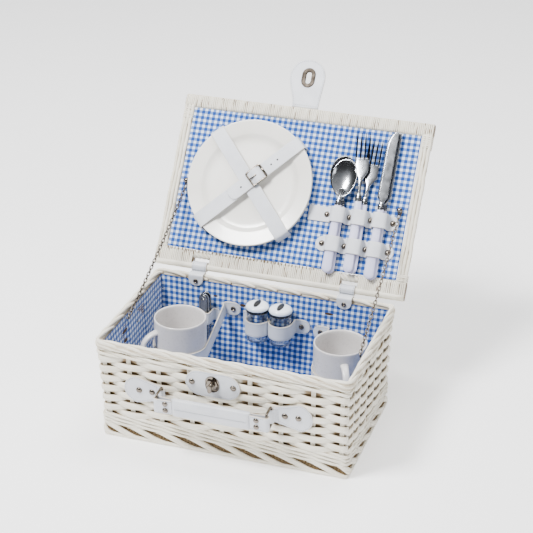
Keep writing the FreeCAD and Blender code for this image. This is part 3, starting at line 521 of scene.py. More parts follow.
def metal_material(name, shade, roughness, wear_and_shade):
    """Polished metal with faint wipe marks, duller patches, and a near-black mix from the per-point level:
    painted shade on the rear spoon bowl and a painted dark reflection on the fork tines.
    """
    g = Graph(name, Metallic=1.0)
    place = g.place()
    haze = g.noise(place, 120.0, 3.0)
    lines = g.noise(place, 900.0, 2.0)
    base = g.mix(g.ramp(haze, (0.4, 0.0), (0.8, 1.0)), colour(shade), colour(wear_and_shade))
    base = g.mix(g.attribute("dirt", "Fac"), base, colour("26262A"))
    g.bump(lines, 0.0001, 0.06)
    return g.finish(base, g.ramp(haze, (0.3, roughness), (0.8, roughness * 1.8)))


def glaze_material(name, shade, warm, roughness):
    """Glazed pottery with a soft colour drift and faint orange-peel."""
    g = Graph(name, Specular_IOR_Level=0.5, Coat_Weight=0.3, Coat_Roughness=0.08)
    place = g.place()
    drift = g.noise(place, 18.0, 2.0)
    skin = g.noise(place, 260.0, 2.0)
    base = g.mix(g.ramp(drift, (0.35, 0.0), (0.7, 1.0)), colour(shade), colour(warm))
    g.bump(skin, 0.0002, 0.08)
    return g.finish(base, g.ramp(skin, (0.2, roughness), (0.9, roughness * 1.5)))


def plastic_material(name, shade, shadow, roughness):
    """Moulded plastic with flow marks and light scuffs."""
    g = Graph(name, Specular_IOR_Level=0.5)
    place = g.place()
    flow = g.noise(place, 30.0, 2.0)
    scuff = g.noise(place, 700.0, 3.0)
    base = g.mix(g.ramp(flow, (0.35, 0.0), (0.7, 1.0)), colour(shade), colour(shadow))
    g.bump(scuff, 0.0001, 0.05)
    return g.finish(base, g.ramp(scuff, (0.3, roughness), (0.8, roughness * 1.7)))


def glass_material(name):
    g = Graph(name, Transmission_Weight=1.0, IOR=1.45)
    smear = g.noise(g.place(), 90.0, 2.0)
    base = g.mix(smear, colour("F4F9FC"), colour("FFFFFF"))
    return g.finish(base, g.ramp(smear, (0.3, 0.01), (0.9, 0.05)))


WILLOW = willow_material("willow_white", "EFECE2", "D8D0BA", "93764C", "3E2C18")
# Painted shade: dark brown willow for rows, cores and slivers put where the gaps would be in shade.
WILLOW_GAP_SHADE = willow_material("willow_gap_shade", "7C6747", "5C4A30", "463420", "2A1C0E")
GINGHAM = gingham_material("blue_check")
LEATHER = leather_material("pale_leather", "CFD2D8", "C2C5CC", "C6B9A2")
PAD_LEATHER = leather_material("grip_leather", "CED0D5", "BFC2CA", "C6B9A2")
THREAD = leather_material("stitch_thread", "868B96", "767B86", "8E929C")
# Nickel and stainless are darker than the real metals: a painted dark reflection of the room in their base
# colours.
NICKEL = metal_material("nickel", "7C746B", 0.09, "5E564D")
AGED_NICKEL = metal_material("aged_nickel", "4E4740", 0.42, "3A342E")
STEEL = metal_material("stainless", "9EA1A6", 0.12, "85888E")
# Painted shade: near-black steel rings stand in for the shade in each groove of a ferrule.
GROOVE_SHADE_STEEL = metal_material("steel_groove_shade", "2C2C30", 0.3, "1A1A1D")
PORCELAIN = glaze_material("porcelain", "EEECE6", "E7E4DC", 0.16)
STONEWARE = glaze_material("stoneware", "D6D3D2", "CBC7C5", 0.24)
GLASS = glass_material("jar_glass")
CAP = plastic_material("cap_white", "E9F0F8", "D4E2F0", 0.12)
# Black plastic for the cap band, also used as painted shade for the cap slots and strap holes.
BLACK_AND_HOLE_SHADE = plastic_material("cap_black_and_hole_shade", "141518", "202226", 0.25)
HANDLE = plastic_material("handle_lavender", "D2D2EE", "C6C6E4", 0.16)


# ---------------------------------------------------------------- base: outline and weave

CORNER = 8.0
REF_X, REF_Y = 188.3, 117.5
FRONT_STAKES = (-177.7, -140.2, -93.8, -48.2, -2.9, 42.6, 87.7, 134.9, 178.7)
SIDE_STAKES = (-96, -68, -32, 11, 49, 90)


def reference_outline(step=2.5):
    """The basket's rounded rectangle, counterclockwise from above: points, normals and distances."""
    points = []
    for sx, sy, start in ((1, -1, -90), (1, 1, 0), (-1, 1, 90), (-1, -1, 180)):
        for turn in np.linspace(0, 90, 9):
            angle = math.radians(start + turn)
            points.append((sx * (REF_X - CORNER) + CORNER * math.cos(angle),
                           sy * (REF_Y - CORNER) + CORNER * math.sin(angle)))
    points.append(points[0])
    points = respaced(np.array(points), step)[:-1]
    tangent = np.roll(points, -1, 0) - np.roll(points, 1, 0)
    tangent /= np.linalg.norm(tangent, axis=1)[:, None]
    normals = np.stack([tangent[:, 1], -tangent[:, 0]], 1)
    distance = np.r_[0, np.cumsum(np.linalg.norm(np.diff(points, axis=0), axis=1))]
    return points, normals, distance


OUTLINE, OUT_NORMALS, DISTANCE = reference_outline()
PERIMETER = DISTANCE[-1] + np.linalg.norm(OUTLINE[0] - OUTLINE[-1])


def stake_places():
    """Distances round the outline at which the upright stakes stand."""
    spots = [(x, -REF_Y) for x in FRONT_STAKES] + [(REF_X, y) for y in SIDE_STAKES]
    spots += [(x, REF_Y) for x in FRONT_STAKES] + [(-REF_X, y) for y in SIDE_STAKES]
    places = [DISTANCE[np.argmin(np.sum((OUTLINE - spot) ** 2, 1))] for spot in spots]
    return np.sort(np.array(places))


STAKES = stake_places()


def stake_number(distance):
    """A smooth count of stakes passed, at any distance round the outline."""
    places = np.r_[STAKES[-1] - PERIMETER, STAKES, STAKES[0] + PERIMETER]
    laps = np.floor(distance / PERIMETER)
    return np.interp(distance - laps * PERIMETER, places, np.arange(-1, len(STAKES) + 1)) + laps * len(STAKES)


def round_basket(distance, half_x, half_y, out, z):
    """Points round the basket at given distances, half sizes, outward offsets and heights."""
    lap = np.mod(distance, PERIMETER)
    places = np.r_[DISTANCE, PERIMETER]
    x = np.interp(lap, places, np.r_[OUTLINE[:, 0], OUTLINE[0, 0]])
    y = np.interp(lap, places, np.r_[OUTLINE[:, 1], OUTLINE[0, 1]])
    nx = np.interp(lap, places, np.r_[OUT_NORMALS[:, 0], OUT_NORMALS[0, 0]])
    ny = np.interp(lap, places, np.r_[OUT_NORMALS[:, 1], OUT_NORMALS[0, 1]])
    points = np.stack([x * half_x / REF_X + nx * out, y * half_y / REF_Y + ny * out,
                       np.broadcast_to(z, np.shape(x))], -1)
    return points, np.stack([nx, ny, np.zeros_like(nx)], -1)


def wall_half(z):
    """Half width and half depth of the wall's outer face at a height."""
    t = (np.asarray(z) - 20) / 128
    return 186.5 + 3.5 * t, 112 + 11 * t


WEAVE_DEPTH = 4.3
WEAVE_SWING = 3.5


def flank_shade(section, amount):
    """Painted shade along a rod's flanks and back, where it touches its neighbours."""
    side = np.abs(section[:, 1]) / np.abs(section[:, 1]).max()
    return amount * np.maximum(smooth_step((side - 0.78) / 0.2), (section[:, 0] < -0.2) * 1.0)


def weave_row(bundle, z, parity, height):
    """One flat strip woven round the basket, in front of every other stake."""
    number = stake_number(DISTANCE)
    swing = np.cos(math.pi * number + parity * math.pi)
    front = (swing + 1) / 2
    half_x, half_y = wall_half(z)
    level = z + wobble(DISTANCE, 120, z) * 0.5
    path, normals = round_basket(DISTANCE, half_x, half_y, swing * WEAVE_SWING - WEAVE_DEPTH, level)
    normals[:, 2] = -0.05
    fullness = 0.76 + 0.36 * smooth_step(front * 1.25)
    scale = np.stack([0.8 + 0.5 * front, fullness * (1 + 0.05 * wobble(DISTANCE, 37, z * 3))], 1)
    section = oval(1.9, height / 2, 14, 1.0)
    # Painted shade, with bare brown willow: the strip darkens where it passes behind a stake.
    hidden = 0.85 * (1 - smooth_step(front * 2.6))
    bundle.sweep(path, normals, section, scale, True, hidden, flank_shade(section, 0.5))


def wale_rope(bundle, z, radius, half_x, half_y, depth, shift, rise=0.0):
    """Three rods that take turns to pass in front of two stakes and behind the next."""
    number = stake_number(DISTANCE)
    for rod in range(3):
        turn = TAU * (number + rod + shift) / 3
        out = -depth - np.cos(turn) * radius * 1.15
        level = z + rise + np.sin(turn) * radius * 1.05
        path, normals = round_basket(DISTANCE, half_x, half_y, out, level)
        # Painted shade: each rod darkens where it passes behind a stake.
        behind = (np.cos(turn) + 1) / 2
        section = oval(radius, radius, 12)
        bundle.sweep(path, normals, section, None, True, 0.8 * smooth_step(behind * 1.5 - 0.5),
                     flank_shade(section, 0.4))


def make_walls():
    weave = Bundle()
    for z in np.arange(42.2, 140, 8.4):
        weave_row(weave, z, round((z - 42.2) / 8.4) % 2, 9.6)
    # Painted shade: dark rows behind the weave stand in for the shade seen through its gaps.
    shade = Bundle()
    for z in np.arange(38, 146, 4.2):
        path, normals = round_basket(DISTANCE, *wall_half(z), -7.6, z)
        shade.sweep(path, normals, oval(0.9, 2.3, 8), None, True)
    finish_piece(shade.build("wall_gap_shade", WILLOW_GAP_SHADE), "base", "wicker")
    for place in STAKES:
        for lean in (-1.6, 1.6):
            z = np.linspace(16, 152, 24)
            half_x, half_y = wall_half(z)
            path, normals = round_basket(np.full(24, place) + lean, half_x, half_y,
                                         -WEAVE_DEPTH + wobble(z, 40, place) * 0.15, z)
            weave.sweep(path, normals, oval(1.7, 1.8, 8))
    for z, shift in ((23.5, 0), (29.8, 1), (36, 2)):
        wale_rope(weave, z, 2.35, *wall_half(z), 3.4, shift)
    wale_rope(weave, 144.0, 2.3, *wall_half(144), 3.2, 0.5)
    finish_piece(weave.build("wall_weave", WILLOW), "base", "wicker",
                 "wall_front", "wall_back", "wall_left", "wall_right")


def make_rim():
    """Long tapered rods that wind round the rim over a core of straight rods."""
    rim = Bundle()
    half_x, half_y, z0 = 188.3, 121.3, 156.5
    # Painted shade: the core rods under the winding are darkened.
    for out, z in ((-1.6, 152.5), (-1.6, 156.5), (-1.6, 160.5), (1.6, 154.5), (1.6, 158.5)):
        path, normals = round_basket(DISTANCE, half_x, half_y, out, z0 + (z - z0) * 0.9)
        rim.sweep(path, normals, oval(2.1, 2.3, 8), None, True, 0.45)
    count = 32
    section = oval(1, 1, 12)
    for number in range(count):
        start = PERIMETER * number / count + random.uniform(-4, 4)
        length = random.uniform(150, 190)
        where = start + np.linspace(0, length, 60)
        t = np.linspace(0, 1, 60)
        angle = np.radians(165 - 330 * t)
        sag = wobble(where, 60, number) * 0.25
        out = np.cos(angle) * 2.3 - 0.4 + 0.5 * wobble(where, 45, number)
        z = z0 + np.sin(angle) * 5.9 + sag
        path, _ = round_basket(where, half_x, half_y, out, z)
        centre, normals = round_basket(where, half_x, half_y, 0, z0)
        outward = path - centre
        outward[:, 2] *= 0.35
        size = 3.0 - 1.5 * t + 0.12 * wobble(where, 30, number)
        # Painted shade: each winding rod darkens towards its ends, where it tucks under its neighbours.
        rim.sweep(path, outward, section, np.stack([size * 1.1, size], 1), False,
                  0.6 * smooth_step(np.abs(t - 0.5) * 3.2 - 0.9), flank_shade(section, 0.42))
    finish_piece(rim.build("rim_rods", WILLOW), "base", "wicker", "top_border")


def make_foot():
    """Pairs of rods that sweep down from each stake, over a core in painted shade."""
    foot = Bundle()
    half_x, half_y = 188.3, 112.8
    section = oval(1, 1, 12)
    # Painted shade: the rear ring rods are darkened to the gap colour.
    for out, z, radius in ((-3.2, 3.0, 2.9), (-7.5, 3.2, 2.9), (-8.5, 9, 3), (-8.5, 15, 3)):
        path, normals = round_basket(DISTANCE, half_x, half_y, out, z)
        foot.sweep(path, normals, oval(radius, radius, 9), None, True, 0.15 if out > -4 else 1.2)
    places = np.r_[STAKES, STAKES[0] + PERIMETER]
    for number, place in enumerate(places[:-1]):
        gap = places[number + 1] - place
        for twin in range(2):
            where = place - gap * 0.2 + twin * 6.6 + np.linspace(0, gap * 1.6, 26)
            t = np.linspace(0, 1, 26)
            z = 19.4 - 16.2 * smooth_step(t * 1.3) + wobble(where, 50, number + twin) * 0.25
            out = -2.7 - 1.6 * smooth_step(1 - t * 4) - 2.6 * smooth_step(t * 4 - 3)
            path, normals = round_basket(where, half_x, half_y, out, z)
            size = 3.3 - 0.7 * t
            # Painted shade: each rod darkens at both ends, where it tucks in.
            foot.sweep(path, normals, section, np.stack([size, size], 1), False,
                       0.5 * smooth_step(1 - t * 5) + 0.5 * smooth_step(t * 5 - 4), flank_shade(section, 0.42))
    piece = foot.build("foot_rods", WILLOW)
    finish_piece(piece, "base", "wicker", "foot_border")
    # Painted shade: a dark core behind the rods stands in for the shade in their gaps.
    core = Bundle()
    for out, z in ((-6.0, 7.5), (-6.0, 12.0), (-6.0, 16.5)):
        path, normals = round_basket(DISTANCE, half_x, half_y, out, z)
        core.sweep(path, normals, oval(1.6, 2.3, 8), None, True)
    for place in np.arange(0, PERIMETER, 5.2):
        path, normals = round_basket(np.full(5, place) + np.linspace(-1.5, 1.5, 5), half_x, half_y, -4.6,
                                     np.linspace(4, 20, 5))
        core.sweep(path, normals, oval(1.0, 1.3, 6))
    finish_piece(core.build("foot_core_shade", WILLOW_GAP_SHADE), "base", "wicker")


def flat_weave(bundle, x0, x1, y0, y1, level, side, pitch=8.4, spacing=44.0, depth=3.1):
    """A flat panel of strips along X woven over ribs along Y."""
    ribs = max(2, int(round((x1 - x0) / spacing)))
    rows = int((y1 - y0) / pitch)
    step = (y1 - y0) / rows
    xs = np.arange(x0, x1 + 0.01, 3.5)
    number = (xs - x0) / (x1 - x0) * ribs
    for row in range(rows):
        swing = np.cos(math.pi * (number - 0.5) + (row % 2) * math.pi)
        front = (swing * side + 1) / 2
        y = y0 + step * (row + 0.5)
        path = np.stack([xs, y + wobble(xs, 110, row) * 0.4, level + swing * (depth - 1.1)], 1)
        scale = np.stack([0.8 + 0.3 * front, 0.65 + 0.42 * smooth_step(front * 1.25)], 1)
        # Painted shade, with bare brown willow: each strip darkens where it passes behind a rib.
        hidden = 0.7 * (1 - smooth_step(front * 1.7))
        bundle.sweep(path, Z, oval(1.05, pitch * 0.57, 10, 0.75), scale, False, hidden)
    for rib in range(ribs):
        x = x0 + (x1 - x0) * (rib + 0.5) / ribs
        for lean in (-1.7, 1.7):
            path = np.array([(x + lean, y, level) for y in np.linspace(y0, y1, 12)])
            bundle.sweep(path, Z, oval(1.5, 1.7, 8))


def make_floor():
    floor = Bundle()
    flat_weave(floor, -176, 176, -100.5, 100.5, 4.2, -1)
    finish_piece(floor.build("floor_weave", WILLOW), "base", "wicker", "floor_panel")


def make_base_lining():
    """Fitted check cotton: four leaning walls and a floor, with soft puckers."""
    cloth = Bundle()
    low_x, low_y, top_x, top_y = 173.9, 98.4, 182.6, 115.8
    z0, z1 = 9.3, 157.0
    corners = [(-1, -1), (1, -1), (1, 1), (-1, 1), (-1, -1)]
    area = 4 * low_x * low_y
    run = 0.0
    for (ax, ay), (bx, by) in zip(corners, corners[1:]):
        t = np.linspace(0, 1, 90)[None, :]
        h = np.linspace(0, 1, 40)[:, None]
        half_x = low_x + (top_x - low_x) * h
        half_y = low_y + (top_y - low_y) * h
        x = half_x * (ax + (bx - ax) * t)
        y = half_y * (ay + (by - ay) * t)
        z = z0 + (z1 - z0) * h + 0 * t
        length = 2 * (top_x if ay == by else top_y)
        inward = np.array([0, -ay, 0]) if ay == by else np.array([-ax, 0, 0])
        fade = np.sin(math.pi * t) ** 0.5 * np.sin(math.pi * np.clip(h, 0, 1)) ** 0.5
        folds = wobble(length * t + 25 * h, 64, run) + 0.7 * wobble(length * t * 0.6 - 90 * h, 47, run + 2)
        ruck = folds * fade + 0.6
        grid = np.stack([x + inward[0] * ruck, y + inward[1] * ruck, z], -1)
        uv = np.stack(np.broadcast_arrays(length * (t - 0.5) + run, (z - z0)), -1)
        cloth.sheet_grid(grid, uv, flip=True)
        area += (top_x + low_x if ay == by else top_y + low_y) * math.hypot(z1 - z0, 9)
    t = np.linspace(-1, 1, 80)
    x, y = np.meshgrid(t * low_x, np.linspace(-1, 1, 50) * low_y)
    dip = 0.5 * wobble(x + 0.6 * y, 80, 1) + 0.4 * wobble(y - 0.3 * x, 55, 3) + 0.6
    cloth.sheet_grid(np.stack([x, y, z0 + dip], -1), np.stack([x, y], -1))
    piece = cloth.build("base_lining_cloth", GINGHAM)
    finish_piece(piece, "base", "gingham", "base_lining")
    width, length = 2 * (low_x + z1 - z0) * MM, 2 * (low_y + z1 - z0) * MM


# ---------------------------------------------------------------- lid

def wrapped_bar(bundle, x0, x1, centre, half, axis=0, strip=2.75):
    """A bar bound with narrow strips side by side. centre and half are the section's (across, out)."""
    count = max(1, int(round((x1 - x0) / strip)))
    width = (x1 - x0) / count
    section = oval(1, 1, 26, 0.42)
    angle = np.arctan2(section[:, 1], section[:, 0])
    rows = (0.0, 0.14, 0.5, 0.86, 1.0)
    lift = (-0.95, -0.15, 0.15, -0.15, -0.95)
    for number in range(count):
        mark = random.uniform(0.6, 2.5) if random.random() < 0.22 else None
        narrow = 0.12 if mark else 0.0
        seed, slack = random.random(), random.uniform(-0.12, 0.12)
        points, strand, dirt = [], [], []
        for place, rise in zip(rows, lift):
            along = x0 + width * (number + narrow / 2 + place * (1 - narrow))
            skew = 0.25 * np.sin(angle + number)
            across = centre[0] + section[:, 0] * (half[0] + rise + slack)
            out = centre[1] + section[:, 1] * (half[1] + rise + slack)
            ring = np.stack([along + skew, across, out] if axis == 0 else [across, along + skew, out], 1)
            points.append(ring)
            turn = (angle / TAU) % 1
            strand.append(np.stack([turn * 0.09, np.full(26, place * 0.5), np.full(26, seed)], 1))
            # Painted shade: each strip darkens at its edges, and some get a dark sliver near one edge as the
            # shade in the gap beside them.
            shade_tint_values = np.full(26, 0.42 if place in (0.0, 1.0) else 0.0)
            if mark is not None and place > 0.8:
                shade_tint_values = shade_tint_values + 1.3 * (np.abs(angle - mark) < 0.42)
            dirt.append(shade_tint_values)
        faces = []
        for i in range(len(rows) - 1):
            for k in range(26):
                m = (k + 1) % 26
                face = [i * 26 + k, i * 26 + m, (i + 1) * 26 + m, (i + 1) * 26 + k]
                faces.append(face if axis == 0 else face[::-1])
        bundle.append(np.concatenate(points), faces, np.concatenate(strand), np.concatenate(dirt))
    # Painted shade: the bar under the wraps is darkened.
    core = [(end, *centre) if axis == 0 else (centre[0], end, centre[1]) for end in (x0, x1)]
    path = respaced(np.array(core, float), 12)
    bar = np.stack([section[:, 1] * (half[1] - 0.6), section[:, 0] * (half[0] - 0.6)], 1)
    bundle.sweep(path, Z, bar, None, False, 0.9)


STRAP_XS = (-124.0, 113.0)


def make_lid_borders():
    rear = Bundle(LID)
    spans = [(-199.5, STRAP_XS[0] - 14), (STRAP_XS[0] + 14, STRAP_XS[1] - 14), (STRAP_XS[1] + 14, 199.5)]
    for start, end in spans:
        wrapped_bar(rear, start, end, (12.6, -7.6), (14.2, 8.0))
    for x in STRAP_XS:
        xs = np.linspace(x - 17, x + 17, 40)
        for strand in range(3):
            turn = TAU * (xs / 22 + strand / 3)
            path = np.stack([xs, 20.5 + 3.4 * np.cos(turn), -6.5 + 3.4 * np.sin(turn)], 1)
            # Painted shade: each strand darkens where it turns under.
            rear.sweep(path, Z, oval(2.6, 2.6, 9), None, False, 0.35 * smooth_step(-np.sin(turn)))
    path = respaced(np.array([(-199, ROD_V / MM, -ROD_W / MM), (199, ROD_V / MM, -ROD_W / MM)]), 10)
    rear.sweep(path, Z, oval(5.2, 5.2, 18))
    finish_piece(rear.build("lid_rear_wraps", WILLOW), "lid", "wicker", "lid_border_rear")
    front = Bundle(LID)
    wrapped_bar(front, -199.5, 199.5, (261, -7.8), (10.2, 8.0))
    finish_piece(front.build("lid_front_wraps", WILLOW), "lid", "wicker", "lid_border_front")
    make_slits()
    sides = Bundle(LID)
    for side in (-1, 1):
        for lane, level in ((0, -4.0), (1, -3.4), (2, -4.2), (0.4, -11.6), (1.6, -11.8)):
            vs = np.linspace(24, 254, 70)
            x = side * (186.4 + lane * 5.3 + 0.5 * wobble(vs, 90, lane + side) + 0.3 * wobble(vs, 35, lane))
            path = np.stack([x, vs, level + 0.5 * wobble(vs, 70, lane * 2 + side)], 1)
            girth = 1 + 0.07 * wobble(vs, 60, lane)
            section = oval(3.5, 2.75, 14, 0.9)
            wear_and_shade = 0.34 * smooth_step(wobble(vs, 47, lane + 4 * side) * 2 - 0.6)
            sides.sweep(path, Z, section, np.stack([girth, girth], 1), False, wear_and_shade, flank_shade(section, 0.5))
        for v0, v1 in ((232, 252), (26, 37)):
            wrapped_bar(sides, v0, v1, (side * 191.5, -8.0), (8.6, 7.9), axis=1)
    piece = sides.build("lid_side_willow", WILLOW)
    finish_piece(piece, "lid", "wicker", "lid_side_rods")
    panel = Bundle(LID)
    flat_weave(panel, -183, 183, 28, 250, -8.6, -1)
    finish_piece(panel.build("lid_weave", WILLOW), "lid", "wicker", "lid_panel")


def make_slits():
    """A row of short dark slivers, painted shade in the gaps between the wraps, along the lining's rear edge.
    """
    slits = Bundle(LID)
    low, high, level = 22.6, 27.4, 0.35
    for place in np.arange(-180, 60, 5.6):
        x, wide = place + random.uniform(-0.6, 0.6), random.uniform(0.8, 1.2)
        line = [(x, low, level), (x + 0.3, (low + high) / 2, level + 0.1), (x, high, level)]
        slits.sweep(line, Z, oval(0.35, wide, 8), np.array([[0.6, 0.5], [1, 1], [0.6, 0.4]]))
    finish_piece(slits.build("lid_wrap_gap_shade", WILLOW_GAP_SHADE), "lid", "wicker")


def make_lid_lining():
    cloth = Bundle(LID)
    half, low, high = 183.0, 27.3, 250.7
    x, v = np.meshgrid(np.linspace(-half, half, 120), np.linspace(low, high, 80))
    fade = np.sin(math.pi * (x + half) / (2 * half)) ** 0.4
    fade = fade * np.sin(math.pi * (v - low) / (high - low)) ** 0.4
    ripple = (wobble(x + 0.4 * v, 95, 1) + 0.6 * wobble(v * 1.2 - x * 0.3, 70, 4)) * fade * 0.3
    rim = 0.5 * np.exp(-np.minimum(half - np.abs(x), np.minimum(v - low, high - v)) / 1.5)
    cloth.sheet_grid(np.stack([x, v, -3.15 + ripple - rim], -1), np.stack([x, v + 2], -1))
    piece = cloth.build("lid_lining_cloth", GINGHAM)
    finish_piece(piece, "lid", "gingham", "lid_lining")


# ---------------------------------------------------------------- leather, rivets and stitches

def strap(bundle, path, across, width, thick, round_ends=(False, False)):
    """A flat strap along a path, lying square to the direction across, with its ends rounded if asked."""
    path = respaced(path, 1.5)
    across = unit(across)
    tangent = np.gradient(path, axis=0)
    normals = np.cross(tangent, across)
    along = np.r_[0, np.cumsum(np.linalg.norm(np.diff(path, axis=0), axis=1))]
    section = slab(thick, width)
    size = np.ones((len(path), 2))
    radius = width / 2
    for flag, gap in zip(round_ends, (along, along[-1] - along)):
        if flag:
            short = 1 - np.clip(gap / radius, 0.004, 1)
            size[:, 1] = np.minimum(size[:, 1], np.sqrt(np.clip(1 - short ** 2, 0.02, 1)))
    bundle.sweep(path, normals, section, size, False, None, slab_edge(section, width) * 0.8)


def stitch_line(bundle, path, normals, pitch=3.0, length=2.0, radius=0.3):
    """Short raised stitches at even spacing along a path."""
    path = np.asarray(path, float)
    fine = respaced(path, 0.5)
    along = np.r_[0, np.cumsum(np.linalg.norm(np.diff(fine, axis=0), axis=1))]
    normals = np.asarray(normals, float)
    section = oval(radius, radius * 1.1, 6)
    size = np.array([[0.35, 0.35], [1, 1], [1, 1], [0.35, 0.35]])
    for start in np.arange(1.0, along[-1] - length, pitch):
        places = np.linspace(start, start + length, 4)
        line = np.stack([np.interp(places, along, fine[:, i]) for i in range(3)], 1)
        if normals.ndim == 1:
            normal = normals
        else:
            share = start / along[-1] * (len(normals) - 1)
            normal = normals[int(round(share))]
        bundle.sweep(line, normal, section, size, False, None, None, 0.5)


def strap_stitches(bundle, path, across, width, thick, inset_by=2.2, sign=1):
    """Two lines of stitches on the outer face of a strap."""
    path = respaced(path, 1.5)
    across = unit(across)
    normals = np.cross(np.gradient(path, axis=0), across) * sign
    normals /= np.linalg.norm(normals, axis=1)[:, None]
    for side in (-1, 1):
        line = path + normals * (thick / 2 + 0.05) + across * side * (width / 2 - inset_by)
        stitch_line(bundle, line, normals)


def outline_stitches(bundle, outline, level, inset_by=2.2):
    ring = inset(np.asarray(outline, float), inset_by)
    ring = np.concatenate([ring, ring[:1]])
    stitch_line(bundle, np.c_[ring, np.full(len(ring), level)], Z)


def rivet_profile(radius, height):
    """A domed head with a small flat flange."""
    turn = np.linspace(0, math.pi / 2, 8)
    dome = [(radius * 0.92 * math.cos(a), 0.3 + (height - 0.3) * math.sin(a)) for a in turn]
    return [(radius * 0.9, 0), (radius, 0.1), (radius, 0.3)] + dome


def ring_rivet_profile(radius, height):
    """A tubular rivet with a rolled rim round a hollow."""
    return [(radius * 0.95, 0), (radius, 0.3), (radius * 0.9, height * 0.75), (radius * 0.72, height),
            (radius * 0.52, height * 0.8), (radius * 0.42, height * 0.35), (radius * 0.3, height * 0.15),
            (0, height * 0.1)]


def make_front_leather():
    """Two teardrop tabs and the lock patch on the front wall."""
    threads = Bundle(FRONT)
    for label, ring_x, side in (("handle_tab_left", -87, -1), ("handle_tab_right", 77, 1)):
        tab = Bundle(FRONT)
        centre = ring_x + side * 37
        outline = teardrop(centre, 93, 23, ring_x, 12)
        tab.panel(outline, 0.3, 2.4, 0.5, 0.7)
        angle = np.linspace(0, TAU, 40, endpoint=False)
        loop = np.stack([ring_x + 3.35 * np.cos(angle), np.full(40, 93.0), 6 + 3.35 * np.sin(angle)], 1)
        normals = np.stack([np.cos(angle), np.zeros(40), np.sin(angle)], 1)
        section = slab(1.9, STRAP_WIDTH)
        tab.sweep(loop, normals, section, None, True, None, slab_edge(section, STRAP_WIDTH) * 0.7)
        neck = rounded_path([(ring_x + side * reach, 93, level)
                             for reach, level in ((9, 1.6), (4, 2.2), (2.6, 4.0))])
        tab.sweep(respaced(neck, 1), Z, section, None, False)
        finish_piece(tab.build(label + "_leather", LEATHER), "base", "leather", label)
        outline_stitches(threads, teardrop(centre, 93, 23, ring_x + side * 7, 12), 2.45)
    patch = Bundle(FRONT)
    outline = stadium(82, 42, -10.7, 124)
    patch.panel(outline, 0.3, 2.3, 0.5, 0.7)
    finish_piece(patch.build("lock_patch_leather", LEATHER), "base", "leather", "lock_patch")
    outline_stitches(threads, outline, 2.35)
    finish_piece(threads.build("front_stitches", THREAD), "base", "leather")


def teardrop(x, y, radius, neck_x, neck_half):
    """A disc that narrows in straight lines to a square neck, counterclockwise."""
    side = 1 if neck_x > x else -1
    spread = math.radians(100)
    arc = np.linspace(spread, TAU - spread, 50)
    disc = np.stack([x + side * radius * np.cos(arc), y + radius * np.sin(arc)], 1)
    neck = np.array([(neck_x, y - neck_half), (neck_x, y + neck_half)])
    edges = [respaced(np.array([disc[-1], neck[0]]), 3)[1:-1], respaced(neck, 3),
             respaced(np.array([neck[1], disc[0]]), 3)[1:-1]]
    outline = np.concatenate([disc] + edges)
    return outline if side > 0 else outline[::-1]


def make_handle():
    """Bent wire rings, the padded grip and its two riveted end loops."""
    for label, x in (("ring_left", -87), ("ring_right", 77)):
        ring = Bundle(FRONT)
        outline = round_box(21, 30, 3.2, 16.5, 93)
        path = np.stack([np.full(len(outline), x), outline[:, 1], outline[:, 0]], 1)
        path = respaced(np.concatenate([path, path[:1]]), 1.0)[:-1]
        ring.sweep(path, X, oval(1.95, 1.95, 12), None, True)
        finish_piece(ring.build(label + "_wire", NICKEL), label, "nickel", label)
    grip = Bundle(FRONT)
    xs = np.linspace(-64, 54, 60)
    path = np.stack([xs, np.full(60, 93.0), np.full(60, 27.0)], 1)
    ends = np.minimum(xs + 64, 54 - xs)
    round_off = np.sqrt(np.clip(1 - (1 - np.clip(ends / 5.0, 0.02, 1)) ** 2, 0.05, 1))
    bulge = 1 + 0.03 * np.sin(math.pi * (xs + 64) / 118) + 0.012 * wobble(xs, 21, 3)
    section = grip_section(5.6, 14.4)
    grip.sweep(path, Z, section, np.stack([round_off * bulge, 0.88 + 0.12 * round_off], 1))
    piece = finish_piece(grip.build("grip_pad", PAD_LEATHER), "grip", "leather", "handle_grip")
    loops, threads, rivets = Bundle(FRONT), Bundle(FRONT), Bundle(FRONT)
    for ring_x, inner_x, sign in ((-87, -63, 1), (77, 53, -1)):
        top = [(inner_x, 93, 29.4), (ring_x + sign * 7, 93, 30.4), (ring_x + sign * 1, 93, 30.6)]
        around = [(ring_x + 3.6 * math.cos(a) * -sign, 93, 27 + 3.6 * math.sin(a))
                  for a in np.linspace(math.radians(70), math.radians(-70), 9)]
        low = [(ring_x + sign * 1, 93, 23.4), (ring_x + sign * 7, 93, 23.6), (inner_x, 93, 24.6)]
        path = rounded_path(top + around + low, 2)
        strap(loops, path, Y * sign, STRAP_WIDTH, 1.9)
        threads_path = rounded_path(top, 2)
        for edge in (-1, 1):
            line = threads_path + np.array([0, edge * 9.6, 1.0])
            stitch_line(threads, line, Z)
        for lift in (-5.5, 5.5):
            rivets.lathe(rivet_profile(4.3, 3.0), (ring_x + sign * 14, 93 + lift, 30.9), Z)
    seam = np.stack([np.linspace(-60, 50, 60), np.full(60, 92.6), np.full(60, 32.55)], 1)
    stitch_line(threads, seam, Z, 3.2, 2.2, 0.32)
    finish_piece(loops.build("grip_end_loops", LEATHER), "grip", "leather", "handle_end_loops")
    finish_piece(threads.build("grip_stitches", THREAD), "grip", "leather")
    finish_piece(rivets.build("grip_rivets", NICKEL), "grip", "nickel", "handle_end_rivets")


def grip_section(half_thick, half_wide):
    """A padded oval with a sewn seam pulled in along the middle of its outer face."""
    points = oval(half_thick, half_wide, 40, 0.62)
    seam = np.exp(-(points[:, 1] / 1.6) ** 2) * (points[:, 0] > 0)
    edge = np.exp(-((np.abs(points[:, 1]) - half_wide * 0.8) / 1.4) ** 2) * (points[:, 0] > 0)
    points[:, 0] -= 0.7 * seam + 0.35 * edge
    return points


